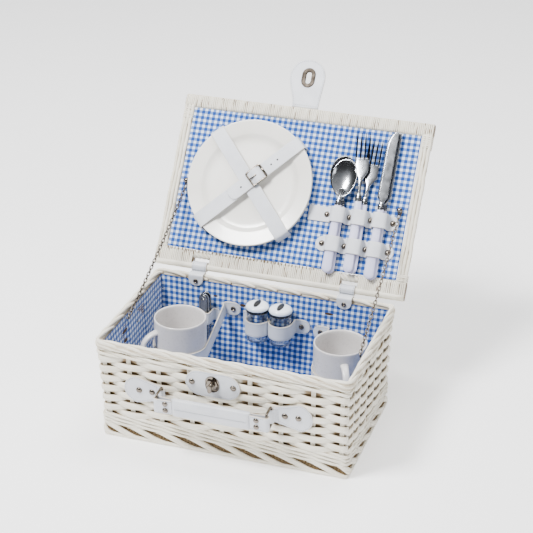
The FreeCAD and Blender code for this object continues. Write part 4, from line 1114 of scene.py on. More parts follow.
def make_front_metal():
    rivets = Bundle(FRONT)
    for x, z in ((-124, 93), (-104, 93), (96, 93), (116, 93), (-41.7, 125), (20.3, 125)):
        rivets.lathe(rivet_profile(4.8, 3.2), (x, z, 2.3), Z)
    finish_piece(rivets.build("front_rivet_heads", NICKEL), "base", "nickel", "front_rivets")
    plate = Bundle(FRONT)
    plate.panel(stadium(21, 27, -10.7, 126), 2.35, 3.9, 0.5)
    block = np.array([(-6.2, -8.5), (6.2, -8.5), (9.4, 0), (6.2, 8.5), (-6.2, 8.5), (-9.4, 0)])
    plate.panel(respaced_closed(block, 2.0) + (-10.7, 126), 3.8, 6.0, 1.6)
    finish_piece(plate.build("lock_base_plate", NICKEL, smooth=False), "base", "nickel", "lock_plate")
    knob = Bundle(FRONT)
    ribs = []
    for step in range(6):
        level = 5.7 + step * 1.2
        ribs += [(3.1, level), (3.8, level + 0.35), (3.8, level + 0.8), (3.1, level + 1.15)]
    knob.lathe([(0, 5.65)] + ribs + [(0, 12.9)], (-10.7, 126, 0), Z, 28)
    knob.panel(stadium(6, 13, -10.7, 126), 12.8, 16.8, 0.9)
    finish_piece(knob.build("lock_turn_knob", NICKEL), "knob", "nickel", "lock_knob")


def respaced_closed(outline, step):
    return respaced(np.concatenate([outline, outline[:1]]), step)[:-1]


def make_hinge_straps():
    leather, threads, rivets = Bundle(), Bundle(), Bundle()
    axis_y, axis_z = hinge[1] / MM, hinge[2] / MM
    for x in STRAP_XS:
        inner = [(x, 112.5, 148.0), (x, 112.6, 156), (x, 112.8, 165.2), (x, 114.6, 166.4), (x, 121, 166.6),
                 (x, 126.6, 165.4)]
        outer = [(x, 126.4, 165.6), (x, 127.2, 163), (x, 127.1, 150), (x, 127.1, 136.6)]
        strap(leather, rounded_path(inner), X, STRAP_WIDTH, 1.6, (True, False))
        strap(leather, rounded_path(outer), X, STRAP_WIDTH, 1.6, (False, True))
        strap_stitches(threads, rounded_path(inner)[4:], X, STRAP_WIDTH, 1.6)
        angle = np.linspace(0, TAU, 48, endpoint=False)
        loop = np.stack([np.full(48, x), axis_y + 6.7 * np.cos(angle), axis_z + 6.7 * np.sin(angle)], 1)
        normals = np.stack([np.zeros(48), np.cos(angle), np.sin(angle)], 1)
        section = slab(1.6, STRAP_WIDTH)
        leather.sweep(loop, normals, section, None, True, None, slab_edge(section, STRAP_WIDTH) * 0.8)
        for side in (-1, 1):
            line = loop + normals * 0.85 + X * side * 9.6
            stitch_line(threads, np.concatenate([line, line[:1]]), normals)
        rivets.lathe(ring_rivet_profile(3.9, 2.0), (x, 111.7, 156.1), -Y)
        rivets.lathe(rivet_profile(4.0, 1.9), (x, 127.9, 143.1), Y)
    finish_piece(leather.build("hinge_strap_leather", LEATHER), "base", "leather", "hinge_straps")
    finish_piece(threads.build("hinge_strap_stitches", THREAD), "base", "leather")
    finish_piece(rivets.build("hinge_strap_heads", NICKEL), "base", "nickel", "hinge_strap_rivets")


def make_tongue():
    x = -10.7
    count = 120
    angle = np.arange(count) * TAU / count + math.pi / count
    centre = np.array([x, 321.0])
    direction = np.stack([np.cos(angle), np.sin(angle)], 1)
    outer = np.array([tongue_edge(centre, ray) for ray in direction])
    middle = centre + (0, -0.8)
    window = np.array([stadium_edge(ray, 19.4, 29.2) for ray in direction]) + middle
    slot = np.array([stadium_edge(ray, 8.6, 19) for ray in direction]) + middle
    plate_edge = np.array([stadium_edge(ray, 21.6, 31.2) for ray in direction]) + middle
    leather = Bundle(LID)
    leather.panel(outer, -9, -7, 0.5, 0.7, hole=window)
    leather.sweep([(x - 17.8, 273.5, -8), (x + 3, 273.5, -8), (x + 23.8, 273.5, -8)], Z, oval(1.6, 1.6, 14))
    finish_piece(leather.build("tongue_leather", LEATHER), "tongue", "leather", "tongue_strap")
    metal = Bundle(LID)
    metal.panel(plate_edge, -7.0, -5.9, 0.5, hole=slot)
    metal.panel(plate_edge, -10.1, -9.0, 0.5, hole=slot)
    metal.panel(window * 0.98 + middle * 0.02, -9.6, -6.4, 0.3, hole=slot)
    finish_piece(metal.build("tongue_eyelet_plate", AGED_NICKEL), "tongue", "nickel", "tongue_eyelet")
    threads = Bundle(LID)
    outline_stitches(threads, outer, -6.95)
    outline_stitches(threads, outer, -9.05)
    finish_piece(threads.build("tongue_stitches", THREAD), "tongue", "leather")


def tongue_edge(centre, ray):
    """Where a ray from the eyelet meets the tongue's edge: a straight neck and a round head."""
    head, half, start = np.array([-10.7, 321.0]), 21.0, 273.6
    radius = 28.4
    reach = 0.0
    for step in np.arange(5, 60, 0.25):
        point = centre + ray * step
        in_head = np.sum((point - head) ** 2) < radius ** 2
        flare = (radius - half) * smooth_step((point[1] - start) / (head[1] - start))
        in_neck = abs(point[0] - head[0]) < half + flare and start < point[1] < head[1]
        if in_head or in_neck:
            reach = step
    place = centre + ray * reach
    place[0] += tongue_lean(place[1])
    return place


def tongue_lean(v):
    """Sideways drift of the soft tongue from its neck to its head."""
    return 3.2 - 4.8 * float(smooth_step((v - 273.6) / 46))


def stadium_edge(ray, width, height):
    """Where a ray from the middle of an upright stadium meets its edge."""
    radius, run = width / 2, height / 2 - width / 2
    steps = np.arange(0, height, 0.05)
    points = ray[None, :] * steps[:, None]
    away = np.hypot(points[:, 0], np.maximum(np.abs(points[:, 1]) - run, 0))
    return points[np.sum(away < radius) - 1]


# ---------------------------------------------------------------- plates and their straps

def make_plates():
    profile = [(0, 3.6), (46, 3.6), (49.2, 1.6), (50, 0.05), (52.5, 0.05), (53.4, 3.0), (60, 4.6), (68, 5.6),
               (74, 7.2), (84, 8.8), (93, 10.8), (97.6, 11.9), (99, 12.4), (98.9, 13.0), (97.8, 13.0),
               (93, 12.4), (84, 11.3), (78, 10.5), (76.5, 10.1), (72.4, 7.9), (69.5, 7.1), (66, 6.8),
               (60, 6.6), (0, 6.4)]
    profile = rounded_path(np.array(profile, float), 1)
    for node, w in (("plate_back", -2.7), ("plate_front", 1.8)):
        plate = Bundle(LID)
        plate.lathe(profile, (PLATE_X, PLATE_V, w), Z, 128)
        finish_piece(plate.build(node + "_porcelain", PORCELAIN), "lid", "porcelain", node)


def make_plate_straps():
    frame_plain = turned_in_lid(PLATE_X, PLATE_V, PLAIN_TURN)
    frame_buckled = turned_in_lid(PLATE_X, PLATE_V, BUCKLED_TURN)
    for label, matrix, low in (("plain", frame_plain, 15.9), ("buckled", frame_buckled, 17.6)):
        leather, threads = Bundle(matrix), Bundle(matrix)
        bow = [(-101.2, 0, -2.4), (-101.0, 0, low - 2.0), (-99.0, 0, low)]
        if label == "plain":
            across = [(-50, 0, low), (0, 0, low), (50, 0, low)]
            path = rounded_path(bow + across + [(99.0, 0, low), (101.0, 0, low - 2), (101.2, 0, -2.4)])
            strap(leather, path, -Y, STRAP_WIDTH, 1.5)
            strap_stitches(threads, path, -Y, STRAP_WIDTH, 1.5)
        else:
            tail = [(101.2, 0, -2.4), (101.0, 0, low - 2), (99.0, 0, low), (60, 0, low), (36, 0, low + 0.2),
                    (30, 0, low + 0.9), (24, 0, low + 3.2), (20, 0, low + 4.8), (12, 0, low + 4.8),
                    (8, 0, low + 3.2), (2, 0, low + 1.1), (-10, 0, low + 1.2), (-37.5, 0, low + 1.3)]
            lower = rounded_path(bow + [(-50, 0, low), (0, 0, low - 0.1), (17, 0, low)])
            upper = rounded_path(tail)
            strap(leather, lower, -Y, STRAP_WIDTH, 1.3)
            strap(leather, upper, Y, 22.5, 1.2, (False, True))
            strap_stitches(threads, lower, -Y, STRAP_WIDTH, 1.3)
            strap_stitches(threads, upper, Y, 22.5, 1.2)
            # Painted shade: near-black discs stand in for the shade inside the strap's holes.
            holes = Bundle(matrix)
            for place, level in ((-14, low + 1.85), (9.5, low + 4.75), (44, low + 0.7), (56, low + 0.65)):
                holes.lathe([(0, 0), (1.5, 0), (1.5, 0.12), (0, 0.13)], (place, 0, level), Z, 20)
            finish_piece(holes.build("plate_strap_hole_shade", BLACK_AND_HOLE_SHADE), "lid", "leather")
        piece = leather.build("plate_strap_%s_leather" % label, LEATHER)
        finish_piece(piece, "lid", "leather", "plate_strap_" + label)
        finish_piece(threads.build("plate_strap_%s_stitches" % label, THREAD), "lid", "leather")
    w = 20.9
    buckle = Bundle(frame_buckled)
    outline = round_box(25.4, 23.4, 2.6, 16, 0)
    path = respaced(np.c_[np.concatenate([outline, outline[:1]]), np.full(len(outline) + 1, w)], 0.8)[:-1]
    buckle.sweep(path, Z, oval(1.45, 1.5, 12), None, True)
    buckle.sweep([(16, -12, w), (16, 0, w), (16, 12, w)], Z, oval(1, 1, 12))
    buckle.sweep([(28.7, -9.6, w), (28.7, 0, w), (28.7, 9.6, w)], Z, oval(2.0, 2.1, 16))
    finish_piece(buckle.build("buckle_wire", NICKEL), "lid", "nickel", "buckle_frame")
    prong = Bundle(frame_buckled)
    angle = np.linspace(0, TAU, 24, endpoint=False)
    eye = np.stack([16 + 1.75 * np.cos(angle), np.zeros(24), w + 1.75 * np.sin(angle)], 1)
    normals = np.stack([np.cos(angle), np.zeros(24), np.sin(angle)], 1)
    prong.sweep(eye, normals, oval(0.4, 1.9, 10, 0.6), None, True)
    path = rounded_path([(16.5, 0, w + 2.5), (12, 0, w + 2.6), (6, 0, w + 2.4), (2.4, 0, w + 2.2)])
    taper = np.linspace(1, 0.75, len(path))
    prong.sweep(path, Z, oval(0.62, 1.2, 12, 0.8), np.stack([np.ones(len(path)), taper], 1))
    finish_piece(prong.build("buckle_tongue", NICKEL), "prong", "nickel", "buckle_prong")


# ---------------------------------------------------------------- cutlery

CUTLERY_X = (79.0, 112.5, 145.0)
# For the rear and the front piece of each pair: height above the lid's inner face, and sideways shift.
PAIR = ((3.5, 1.5), (9.9, -1.5))


def make_cutlery_straps():
    rivets = Bundle(LID)
    for label, v, start in (("upper", 111, 31), ("lower", 66, 50.5)):
        leather, threads = Bundle(LID), Bundle(LID)
        base = -2.1
        points = [(start, v, base)]
        for x in CUTLERY_X:
            points += [(x - 13.5, v, base), (x - 11.4, v, base + 1.5), (x - 11.3, v, 8), (x - 10.2, v, 13.4),
                       (x - 5, v, 14.5), (x + 5, v, 14.5), (x + 10.2, v, 13.4), (x + 11.3, v, 8),
                       (x + 11.4, v, base + 1.5), (x + 13.5, v, base)]
        points.append((172.5, v, base))
        path = rounded_path(points, 2)
        strap(leather, path, -Y, STRAP_WIDTH, 1.5, (label == "lower", True))
        strap_stitches(threads, path, -Y, STRAP_WIDTH, 1.5)
        for x in (60.4, 95.75, 128.75, 163.6):
            rivets.lathe(rivet_profile(4.6, 3.0), (x, v, base + 0.7), Z)
        finish_piece(leather.build("cutlery_strap_%s_leather" % label, LEATHER), "lid", "leather",
                     "cutlery_strap_" + label)
        finish_piece(threads.build("cutlery_strap_%s_stitches" % label, THREAD), "lid", "leather")
    finish_piece(rivets.build("cutlery_rivet_heads", NICKEL), "lid", "nickel", "cutlery_rivets")


def along_lid(x, vs, level):
    """A straight path up the lid at one x, with a level for each place."""
    return np.stack([np.full(len(vs), x), vs, np.broadcast_to(level, len(vs))], 1)


def leaning(x, vs, level, lean):
    """The same path, leaning sideways above the upper strap."""
    path = along_lid(x, vs, level)
    path[:, 0] += lean * 0.5 * (np.hypot(vs - 104, 14) + vs - 104)
    return path


def handle_of(bundle, x, start, level, lean=0.0, end=126.0):
    """A tapering round-ended plastic handle."""
    vs = np.linspace(start, end, 50)
    t = (vs - start) / (end - start)
    round_end = np.sqrt(np.clip(1 - (1 - np.clip((vs - start) / 8, 0.01, 1)) ** 2, 0.03, 1))
    close = np.sqrt(np.clip(1 - (1 - np.clip((end - vs) / 2, 0.05, 1)) ** 2, 0.3, 1))
    half = (8 - 2.6 * t) * round_end * (0.85 + 0.15 * close)
    thick = (2.95 - 0.3 * t) * (0.45 + 0.55 * round_end) * (0.9 + 0.1 * close)
    bundle.sweep(leaning(x, vs, level, lean), Z, oval(1, 1, 20, 0.72), np.stack([thick, half], 1))


def ferrule(metal, rings, x, level, lean=0.0, start=125.0):
    """A metal collar with three near-black rings, painted shade standing in for a groove each, where the
    handle meets the steel.
    """
    vs = np.linspace(start, start + 12, 30)
    half = 5.0 - 1.3 * smooth_step((vs - start - 6) / 6)
    metal.sweep(leaning(x, vs, level, lean), Z, oval(1, 1, 18, 0.85), np.stack([half * 0.6, half], 1))
    for step in (2.4, 5.2, 8.0):
        ring = np.linspace(start + step - 0.7, start + step + 0.7, 4)
        wide = 5.2 - 1.2 * smooth_step((step - 6) / 6)
        rings.sweep(leaning(x, ring, level, lean), Z, oval(wide * 0.62, wide, 18, 0.85))


def make_spoons():
    metal, handles, rings = Bundle(LID), Bundle(LID), Bundle(LID)
    for number, (level, shift) in enumerate(PAIR):
        x = CUTLERY_X[0] + shift
        handle_of(handles, x, 21, level)
        ferrule(metal, rings, x, level)
        vs = np.linspace(134, 152, 24)
        half = 3.2 - 0.5 * np.sin(math.pi * (vs - 134) / 18) + 1.6 * smooth_step((vs - 142) / 10)
        path = along_lid(x, vs, level - 0.3)
        path[:, 0] += 1.5 * number * smooth_step((vs - 134) / 18)
        metal.sweep(path, Z, oval(1, 1, 14), np.stack([half * 0.3, half], 1))
        # Painted shade: the rear bowl is darkened by the last argument, the front bowl is not.
        spoon_bowl(metal, x + 8 * number - 6.5, 175.5 - 6 * number, level, 0.8 - 0.8 * number)
    add_cutlery("spoons", "spoon", metal, handles, rings)


def spoon_bowl(bundle, x, v, level, painted_shade):
    """A hollow egg-shaped bowl with a rolled edge, open to the front, narrowing toward the stem."""
    count, rings = 56, 14
    angle = np.arange(count) * TAU / count
    points, faces = [], []
    radii = list(np.linspace(0.02, 1, rings)) + [1.0] + list(np.linspace(1, 0.02, rings))
    for number, r in enumerate(radii):
        px = x + 19.4 * r * np.cos(angle) * (1 + 0.10 * np.sin(angle))
        pv = v + 30 * r * np.sin(angle) - 1.5 * r
        dish = -5.4 * (1 - r ** 2.4)
        back = 0.0 if number < rings else (-0.5 if number == rings else -1.0)
        points.append(np.stack([px, pv, np.full(count, level + 0.6 + dish + back)], 1))
    for i in range(len(radii) - 1):
        for k in range(count):
            m = (k + 1) % count
            faces.append([i * count + k, (i + 1) * count + k, (i + 1) * count + m, i * count + m])
    faces.append(list(range(count)))
    faces.append([(len(radii) - 1) * count + k for k in range(count)][::-1])
    bundle.append(np.concatenate(points), faces, None, painted_shade)


FORK_LEANS = (0.02, -0.09)
FORK_DROPS = (7.0, 0.0)


def make_forks():
    metal, handles, rings = Bundle(LID), Bundle(LID), Bundle(LID)
    for (level, shift), lean, drop in zip(PAIR, FORK_LEANS, FORK_DROPS):
        x = CUTLERY_X[1] + shift * 1.6
        end = 136.0 - drop * 0.4
        handle_of(handles, x, 26, level, lean, end)
        ferrule(metal, rings, x, level, lean, end - 1)
        vs = np.linspace(end + 8, 203 - drop, 60)
        head = vs + drop
        lift = level - 1.6 * smooth_step((head - 160) / 40)
        half = np.where(head < 166, 3.0 - 0.4 * np.sin(math.pi * np.clip(head - 144, 0, 22) / 22),
                        3.0 + 8.2 * smooth_step((head - 166) / 19))
        thick = 1.25 - 0.35 * smooth_step((head - 160) / 20)
        metal.sweep(leaning(x, vs, lift, lean), Z, oval(1, 1, 16, 0.8), np.stack([thick, half], 1))
        for tine in range(4):
            ts = np.linspace(199, 241, 30)
            curve = level - 1.6 + 3.2 * smooth_step((ts - 196) / 45)
            tip = np.clip((241 - ts) / 12, 0.18, 1) ** 0.6
            path = leaning(x - 9.9 + tine * 6.6, ts - drop, curve, lean)
            # Painted reflection: the tines darken to near black, a painted dark reflection of the room.
            metal.sweep(path, Z, oval(1, 1, 12, 0.95), np.stack([0.95 * tip, 1.3 * tip], 1), False,
                        smooth_step((ts - 200) / 4))
    add_cutlery("forks", "fork", metal, handles, rings)


def make_knives():
    metal, handles, rings = Bundle(LID), Bundle(LID), Bundle(LID)
    blade = np.array([(0.74, 0.9), (0.75, 0.84), (0.82, -0.6), (0.81, -0.66), (0.3, -0.9), (0.06, -1.0),
                      (-0.3, -0.9), (-0.81, -0.66), (-0.82, -0.6), (-0.75, 0.84), (-0.74, 0.9),
                      (-0.3, 1.0), (0.3, 1.0)])
    for level, shift in PAIR:
        x = CUTLERY_X[2] + shift
        handle_of(handles, x, 21, level, 0.0, 128)
        ferrule(metal, rings, x, level, 0.0, 127)
        vs = np.linspace(138, 249, 70)
        neck = smooth_step((vs - 139) / 10)
        tip = np.sqrt(np.clip(1 - np.clip((vs - 219) / 30.2, 0, 1) ** 2, 0.01, 1))
        right = 3.6 + 4.2 * neck
        left = -(3.6 + 5.0 * neck) * tip + right * (1 - tip) * 0.9
        centre = x + (left + right) / 2
        path = np.stack([centre, vs, np.full(70, level)], 1)
        metal.sweep(path, Z, blade, np.stack([np.ones(70), (right - left) / 2], 1))
    add_cutlery("knives", "knife", metal, handles, rings)


def add_cutlery(body, label, metal, handles, rings):
    finish_piece(metal.build(label + "_steel", STEEL), body, "stainless", label + "_metal")
    finish_piece(handles.build(label + "_grips", HANDLE), body, "handle_plastic", label + "_handles")
    finish_piece(rings.build(label + "_ferrule_shade_rings", GROOVE_SHADE_STEEL), body, "stainless")


# ---------------------------------------------------------------- mugs, shakers and corkscrew

MUG_RADIUS = 39.5
MUG_PLACES = {"left": (-114.7, 20.9), "right": (134.0, 23.6)}      # centre of each mug
SHAKER_X, SHAKER_Y = {"left": -16.0, "right": 21.0}, 89.5
STRAP_LINE = 106.2      # y of the straps that run along the back wall


def make_mug(label, x, y, turn):
    cup = Bundle()
    profile = [(0, 2.2), (30, 2.2), (32.5, 0.6), (34.5, 0), (36.5, 0.4), (38.6, 2.6), (39.4, 6),
               (MUG_RADIUS, 14), (MUG_RADIUS, 70), (MUG_RADIUS, 84), (39.4, 86.6), (38.7, 88), (37.6, 88),
               (36.6, 86.6), (36.0, 83), (35.9, 70), (35.9, 12), (35.2, 7.6), (32, 5.4), (20, 4.8), (0, 4.8)]
    cup.lathe(rounded_path(np.array(profile, float), 1), (x, y, 54), Z, 96)
    angle = math.radians(turn)
    away = np.array([math.cos(angle), math.sin(angle), 0])
    bend = np.linspace(-92, 92, 40)
    spread = 24 + 1.0 * np.cos(np.radians(bend * 2))
    path = np.array([np.array([x, y, 101]) + away * (37.2 + s * math.cos(math.radians(b)))
                     + Z * s * math.sin(math.radians(b)) for b, s in zip(bend, spread)])
    normals = np.array([away * math.cos(math.radians(b)) + Z * math.sin(math.radians(b)) for b in bend])
    flare = 1 + 0.35 * (np.abs(bend) / 92) ** 6
    cup.sweep(path, normals, oval(3.4, 5.2, 18, 0.85), np.stack([flare, flare], 1))
    finish_piece(cup.build(label + "_glazed", STONEWARE), "base", "stoneware", label)


def bent_round(x, y, radius, wall_y, level, left_rise=0.0, right_rise=0.0, reach=(0, 0)):
    """A strap's middle line: tab, back to front round a cylinder, and tab again, at a height."""
    edge = radius + 1.4
    angle = np.linspace(180, 360, 30)
    front = [(x + edge * math.cos(a), y + edge * math.sin(a), level) for a in np.radians(angle)]

    def side_run(side, rise, tail):
        """From the cylinder's flank back to the wall, and along it if there is a tab."""
        points = [(x + side * (edge + 0.5), y + (wall_y - y) * 0.55, level + rise * 0.55),
                  (x + side * edge, wall_y - 2.5, level + rise * 0.95)]
        if tail:
            points += [(x + side * (edge + out), wall_y, level + rise) for out in (2, tail)]
        return points

    left, right = side_run(-1, left_rise, reach[0]), side_run(1, right_rise, reach[1])
    return rounded_path(left[::-1] + front + right, 2)


def make_mug_straps():
    rivets = Bundle()
    for side, reach, rises in (("left", (0, 25), (0, 34)), ("right", (25, 0), (18, 0))):
        label, (x, y) = "mug_strap_" + side, MUG_PLACES[side]
        leather, threads = Bundle(), Bundle()
        path = bent_round(x, y, MUG_RADIUS, STRAP_LINE, 88, rises[0], rises[1], reach)
        strap(leather, path, Z, 22, 1.9, (bool(reach[0]), bool(reach[1])))
        strap_stitches(threads, path, Z, 22, 1.9)
        finish_piece(leather.build(label + "_leather", LEATHER), "base", "leather", label)
        finish_piece(threads.build(label + "_stitches", THREAD), "base", "leather")
    for x, z in ((49.5, 110), (-60.2, 122), (79.5, 106)):
        rivets.lathe(ring_rivet_profile(4.2, 2.2), (x, STRAP_LINE - 1.0, z), -Y)
    finish_piece(rivets.build("lining_rivet_heads", NICKEL), "base", "nickel", "lining_rivets")


def make_shakers():
    for side, x in SHAKER_X.items():
        glass = Bundle()
        profile = [(0, 0.6), (11, 0.4), (13.5, 0), (15.6, 0.6), (16.5, 2.6), (16.5, 44), (16.0, 46.4),
                   (15.2, 47.6), (15.2, 49), (13.6, 49), (13.6, 47), (14.6, 44), (14.7, 6), (13.6, 4.2),
                   (0, 3.9)]
        glass.lathe(profile, (x, SHAKER_Y, 86), Z, 48)
        finish_piece(glass.build("shaker_glass_" + side, GLASS), "shaker_" + side, "jar_glass",
                     "shaker_jar_" + side)
        band = Bundle()
        band.lathe([(16.9, 0), (17.3, 0.4), (17.3, 4.6), (16.9, 5.0)], (x, SHAKER_Y, 135.3), Z, 48)
        # Painted shade: the slot in the cap is a black leaf-shaped sheet.
        slot = leaf_outline(4.6, 12.5)
        band.append(*leaf_on_dome(slot, x, SHAKER_Y))
        finish_piece(band.build("shaker_band_" + side, BLACK_AND_HOLE_SHADE), "shaker_%s_cap" % side, "cap_plastic")
        cap = Bundle()
        dome = [(16.6, 4.6), (17.6, 5.0), (17.8, 5.8), (17.7, 7.2), (17.0, 9.0), (15.4, 10.6), (12.4, 11.8),
                (8, 12.3), (0, 12.5)]
        cap.lathe([(0, 4.4)] + dome, (x, SHAKER_Y, 135), Z, 48)
        finish_piece(cap.build("shaker_dome_" + side, CAP), "shaker_%s_cap" % side, "cap_plastic",
                     "shaker_cap_" + side)


def leaf_outline(half_wide, half_long):
    t = np.linspace(0, math.pi, 20)
    right = np.stack([half_wide * np.sin(t), -half_long * np.cos(t)], 1)
    left = np.stack([-half_wide * np.sin(t), -half_long * np.cos(t)], 1)[::-1]
    return np.concatenate([right, left[1:-1]])


def leaf_on_dome(outline, x, y):
    """A pointed opening laid on the cap's dome as a near-black sheet, painted shade for the inside seen
    through it, as points and faces.
    """
    rings = []
    for share in (1.0, 0.6, 0.2):
        flat = outline * share
        radius = np.hypot(flat[:, 0], flat[:, 1])
        height = np.interp(radius, (0, 8, 12.4, 15.4), (12.5, 12.3, 11.8, 10.6)) + 0.12
        rings.append(np.stack([x + flat[:, 0], y + flat[:, 1], 135 + height], 1))
    count = len(outline)
    faces = []
    for i in range(2):
        for k in range(count):
            m = (k + 1) % count
            faces.append([i * count + k, i * count + m, (i + 1) * count + m, (i + 1) * count + k])
    faces.append([2 * count + k for k in range(count)])
    return np.concatenate(rings), faces


def make_shaker_strap():
    leather, threads = Bundle(), Bundle()
    level = 110
    left = bent_round(SHAKER_X["left"], SHAKER_Y, 16.5, STRAP_LINE, level, 0, 0, (10, 0))
    right = bent_round(SHAKER_X["right"], SHAKER_Y, 16.5, STRAP_LINE, level, 0, 0, (0, 24))
    path = np.concatenate([left, right])
    strap(leather, path, Z, STRAP_WIDTH, 1.8, (False, True))
    strap_stitches(threads, path, Z, STRAP_WIDTH, 1.8)
    finish_piece(leather.build("shaker_strap_leather", LEATHER), "base", "leather", "shaker_strap")
    finish_piece(threads.build("shaker_strap_stitches", THREAD), "base", "leather")


def make_corkscrew():
    """A folded waiter's corkscrew: two steel side plates, a lever, a worm and a rivet."""
    x, y, z0, z1 = -103.0, 97.0, 66.0, 147.0
    facing = frame_matrix((0, 0, 0), X, Z, -Y)      # local z points to the front
    steel = Bundle(facing)
    plate = stadium(16.6, z1 - z0, x, (z0 + z1) / 2)
    for front in (-y + 5.4, -y - 2.6):
        steel.panel(plate, front - 2.6, front, 0.5)
    worm_z = np.linspace(z0 + 14, z1 - 22, 120)
    turn = TAU * (worm_z - worm_z[0]) / 7
    worm = np.stack([x + 2.4 * np.cos(turn), worm_z, -y + 0.2 + 2.4 * np.sin(turn)], 1)
    steel.sweep(worm, Z, oval(0.8, 0.8, 6))
    steel.lathe(rivet_profile(3.0, 1.0), (x, z1 - 9, -y + 5.4), Z, 24)
    finish_piece(steel.build("corkscrew_frame", STEEL), "corkscrew", "stainless", "corkscrew_body")
    lever = Bundle(facing)
    lever.panel(stadium(10.6, 72, x, 110), -y + 5.9, -y + 8.2, 0.5)
    lever.panel(stadium(8.6, 30, x, 126), -y + 8.0, -y + 9.7, 0.5)
    lever.lathe(rivet_profile(2.6, 0.9), (x, z1 - 9, -y + 9.0), Z, 24)
    finish_piece(lever.build("corkscrew_arm", STEEL), "corkscrew", "stainless", "corkscrew_lever")
    leather, threads = Bundle(), Bundle()
    loop = ((-10.1, 106.6), (-10.1, 92), (-9.2, 86.2), (-5, 85.6), (5, 85.6), (9.2, 86.2), (10.1, 92),
            (10.1, 105.4), (12, STRAP_LINE), (23, STRAP_LINE))
    path = rounded_path([(x + shift, depth, 108) for shift, depth in loop], 2)
    strap(leather, path, Z, 20, 1.8, (False, True))
    strap_stitches(threads, path, Z, 20, 1.8)
    finish_piece(leather.build("corkscrew_strap_leather", LEATHER), "base", "leather", "corkscrew_strap")
    finish_piece(threads.build("corkscrew_strap_stitches", THREAD), "base", "leather")


# ---------------------------------------------------------------- lid chains

def make_chains():
    eyes, studs = Bundle(), Bundle(LID)
    for side in (-1, 1):
        label = "left" if side < 0 else "right"
        angle = np.linspace(0, TAU, 24, endpoint=False)
        eye = np.stack([np.full(24, side * 177.2), -25 + 3.0 * np.cos(angle), 154.5 + 3.0 * np.sin(angle)], 1)
        normals = np.stack([np.zeros(24), np.cos(angle), np.sin(angle)], 1)
        eyes.sweep(eye, normals, oval(0.9, 0.9, 8), None, True)
        shank = [(side * x, -25, z) for x, z in ((177.5, 151.6), (180, 151.0), (183, 151.0))]
        eyes.sweep(shank, Z, oval(1.1, 1.1, 8))
        eyes.lathe(rivet_profile(4.0, 1.8), (side * 190.1, -25, 143), X * side)
        studs.lathe([(3.4, 0), (3.6, 0.4), (3.4, 1.2), (2.2, 1.8), (2.0, 3.0), (3.2, 3.6), (4.1, 4.8),
                     (4.4, 6.4), (4.1, 8.0), (3.2, 9.3), (1.7, 10.1), (0, 10.3)],
                    (side * 171, 132, -3), Z, 32)
        collar = np.stack([side * 171 + 3.1 * np.cos(angle), 131 + 5.2 * np.sin(angle), np.full(24, 0.0)], 1)
        outward = np.stack([np.cos(angle), np.sin(angle), np.zeros(24)], 1)
        studs.sweep(collar, outward, oval(0.8, 0.8, 8), None, True)
        start = np.array([side * 176.8, -25.0, 157.3])
        end = LID[:3, :3] @ np.array([side * 171, 125.6, 0.4]) + LID[:3, 3] / MM
        chain = Bundle()
        hang_chain(chain, start, end)
        piece = chain.build("chain_" + label, NICKEL)
        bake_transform(piece)
        if side > 0:
            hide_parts("lid_chains")
    finish_piece(eyes.build("chain_eyes", NICKEL), "base", "nickel", "chain_anchors")
    finish_piece(studs.build("chain_ball_studs", NICKEL), "lid", "nickel", "chain_studs")


def hang_chain(bundle, start, end, pitch=6.5):
    """Links turned by a quarter from one to the next along a slightly sagging line."""
    run = np.linalg.norm(end - start)
    count = int(round(run / pitch))
    t = (np.arange(count) + 0.5) / count
    centres = start + (end - start) * t[:, None] - Z * (4.5 * 4 * t * (1 - t))[:, None]
    direction = np.gradient(centres, axis=0)
    direction /= np.linalg.norm(direction, axis=1)[:, None]
    link = rounded_path([(4.1, 0.6), (3.0, 2.0), (0, 2.15), (-3.0, 2.0), (-4.1, 0.6), (-4.1, -0.6),
                         (-3.0, -2.0), (0, -2.15), (3.0, -2.0), (4.1, -0.6), (4.1, 0.6)], 2)[:-1]
    for number in range(count):
        axis = direction[number]
        side = unit(np.cross(axis, Z))
        if number % 2:
            side = np.cross(axis, side)
        path = centres[number] + link[:, :1] * axis + link[:, 1:2] * side
        bundle.sweep(path, np.cross(axis, side), oval(0.78, 0.78, 7), None, True)


# ---------------------------------------------------------------- stage

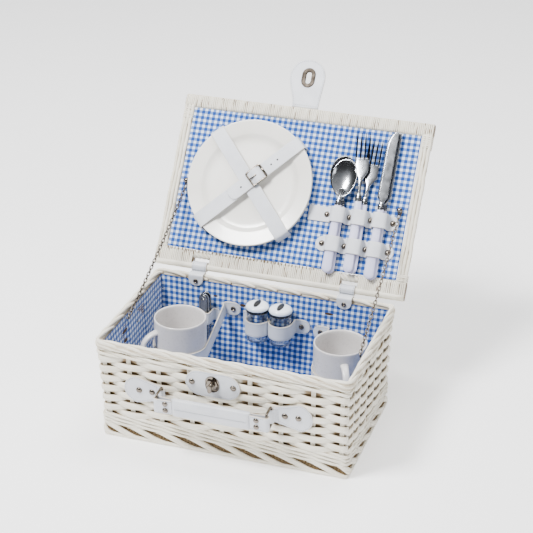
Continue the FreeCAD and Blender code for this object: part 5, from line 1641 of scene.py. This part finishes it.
def make_floor_and_lights():
    floor = Bundle()
    size = 6000.0
    grid = np.linspace(-size, size, 3)
    x, y = np.meshgrid(grid, grid)
    floor.sheet_grid(np.stack([x, y, np.full_like(x, -0.1)], -1), np.stack([x, y], -1))
    g = Graph("pale_floor", Roughness=0.9, Specular_IOR_Level=0.1, Emission_Strength=0.45)
    g.shader.inputs["Emission Color"].default_value = (1, 1, 1, 1)
    grain = g.noise(g.place(), 6.0)
    stage = floor.build("stage_floor", g.finish(g.mix(grain, colour("FDFDFD"), colour("FAFAFB"))), False)
    world = bpy.data.worlds.new("soft_studio")
    bpy.context.scene.world = world
    world.use_nodes = True
    nodes, links = world.node_tree.nodes, world.node_tree.links
    height = nodes.new("ShaderNodeSeparateXYZ")
    links.new(nodes.new("ShaderNodeTexCoord").outputs["Generated"], height.inputs[0])
    sky = nodes.new("ShaderNodeValToRGB")
    for element, (place, shade) in zip([sky.color_ramp.elements[0], sky.color_ramp.elements[1],
                                        sky.color_ramp.elements.new(0.35)],
                                       ((0.0, 0.03), (1.0, 0.5), (0.5, 0.12))):
        element.position = place
        element.color = (shade, shade, shade * 1.01, 1)
    links.new(height.outputs[2], sky.inputs[0])
    links.new(sky.outputs[0], nodes["Background"].inputs["Color"])
    nodes["Background"].inputs["Strength"].default_value = 1.0
    for name, place, size, power in (("key", (-1.2, -1.35, 2.9), 0.9, 235),
                                     ("fill", (2.3, -1.5, 1.4), 1.1, 20),
                                     ("top", (0.4, 0.8, 2.8), 1.7, 80)):
        light = bpy.data.lights.new(name, "AREA")
        light.size = size
        light.energy = power
        lamp = bpy.data.objects.new(name, light)
        lamp.location = place
        lamp.rotation_euler = (Vector((0, 0.05, 0.18)) - Vector(place)).to_track_quat("-Z", "Y").to_euler()
        bpy.context.scene.collection.objects.link(lamp)


def make_camera():
    azimuth, elevation, roll = math.radians(18.31), math.radians(26.56), math.radians(0.38)
    target, distance = np.array([25.2, 0, 258.4]), 2381.6
    back = np.array([math.sin(azimuth) * math.cos(elevation), -math.cos(azimuth) * math.cos(elevation),
                     math.sin(elevation)])
    right = unit(np.cross(Z, back))
    up = np.cross(back, right)
    right, up = math.cos(roll) * right + math.sin(roll) * up, math.cos(roll) * up - math.sin(roll) * right
    data = bpy.data.cameras.new("studio_camera")
    data.lens, data.sensor_width = 112.56, 36.0
    data.shift_x = 0.003
    data.clip_end = 50.0
    camera = bpy.data.objects.new("studio_camera", data)
    matrix = np.eye(4)
    matrix[:3, 0], matrix[:3, 1], matrix[:3, 2] = right, up, back
    matrix[:3, 3] = (target + back * distance) * MM
    camera.matrix_world = Matrix(matrix.tolist())
    bpy.context.scene.collection.objects.link(camera)
    bpy.context.scene.camera = camera


# ---------------------------------------------------------------- build

make_walls()
make_rim()
make_foot()
make_floor()
make_base_lining()
make_lid_borders()
make_lid_lining()
make_front_leather()
make_handle()
make_front_metal()
make_hinge_straps()
make_tongue()
make_plates()
make_plate_straps()
make_cutlery_straps()
make_spoons()
make_forks()
make_knives()
make_mug("mug_left", *MUG_PLACES["left"], 226)
make_mug("mug_right", *MUG_PLACES["right"], 295)
make_mug_straps()
make_shakers()
make_shaker_strap()
make_corkscrew()
make_chains()
make_floor_and_lights()
make_camera()
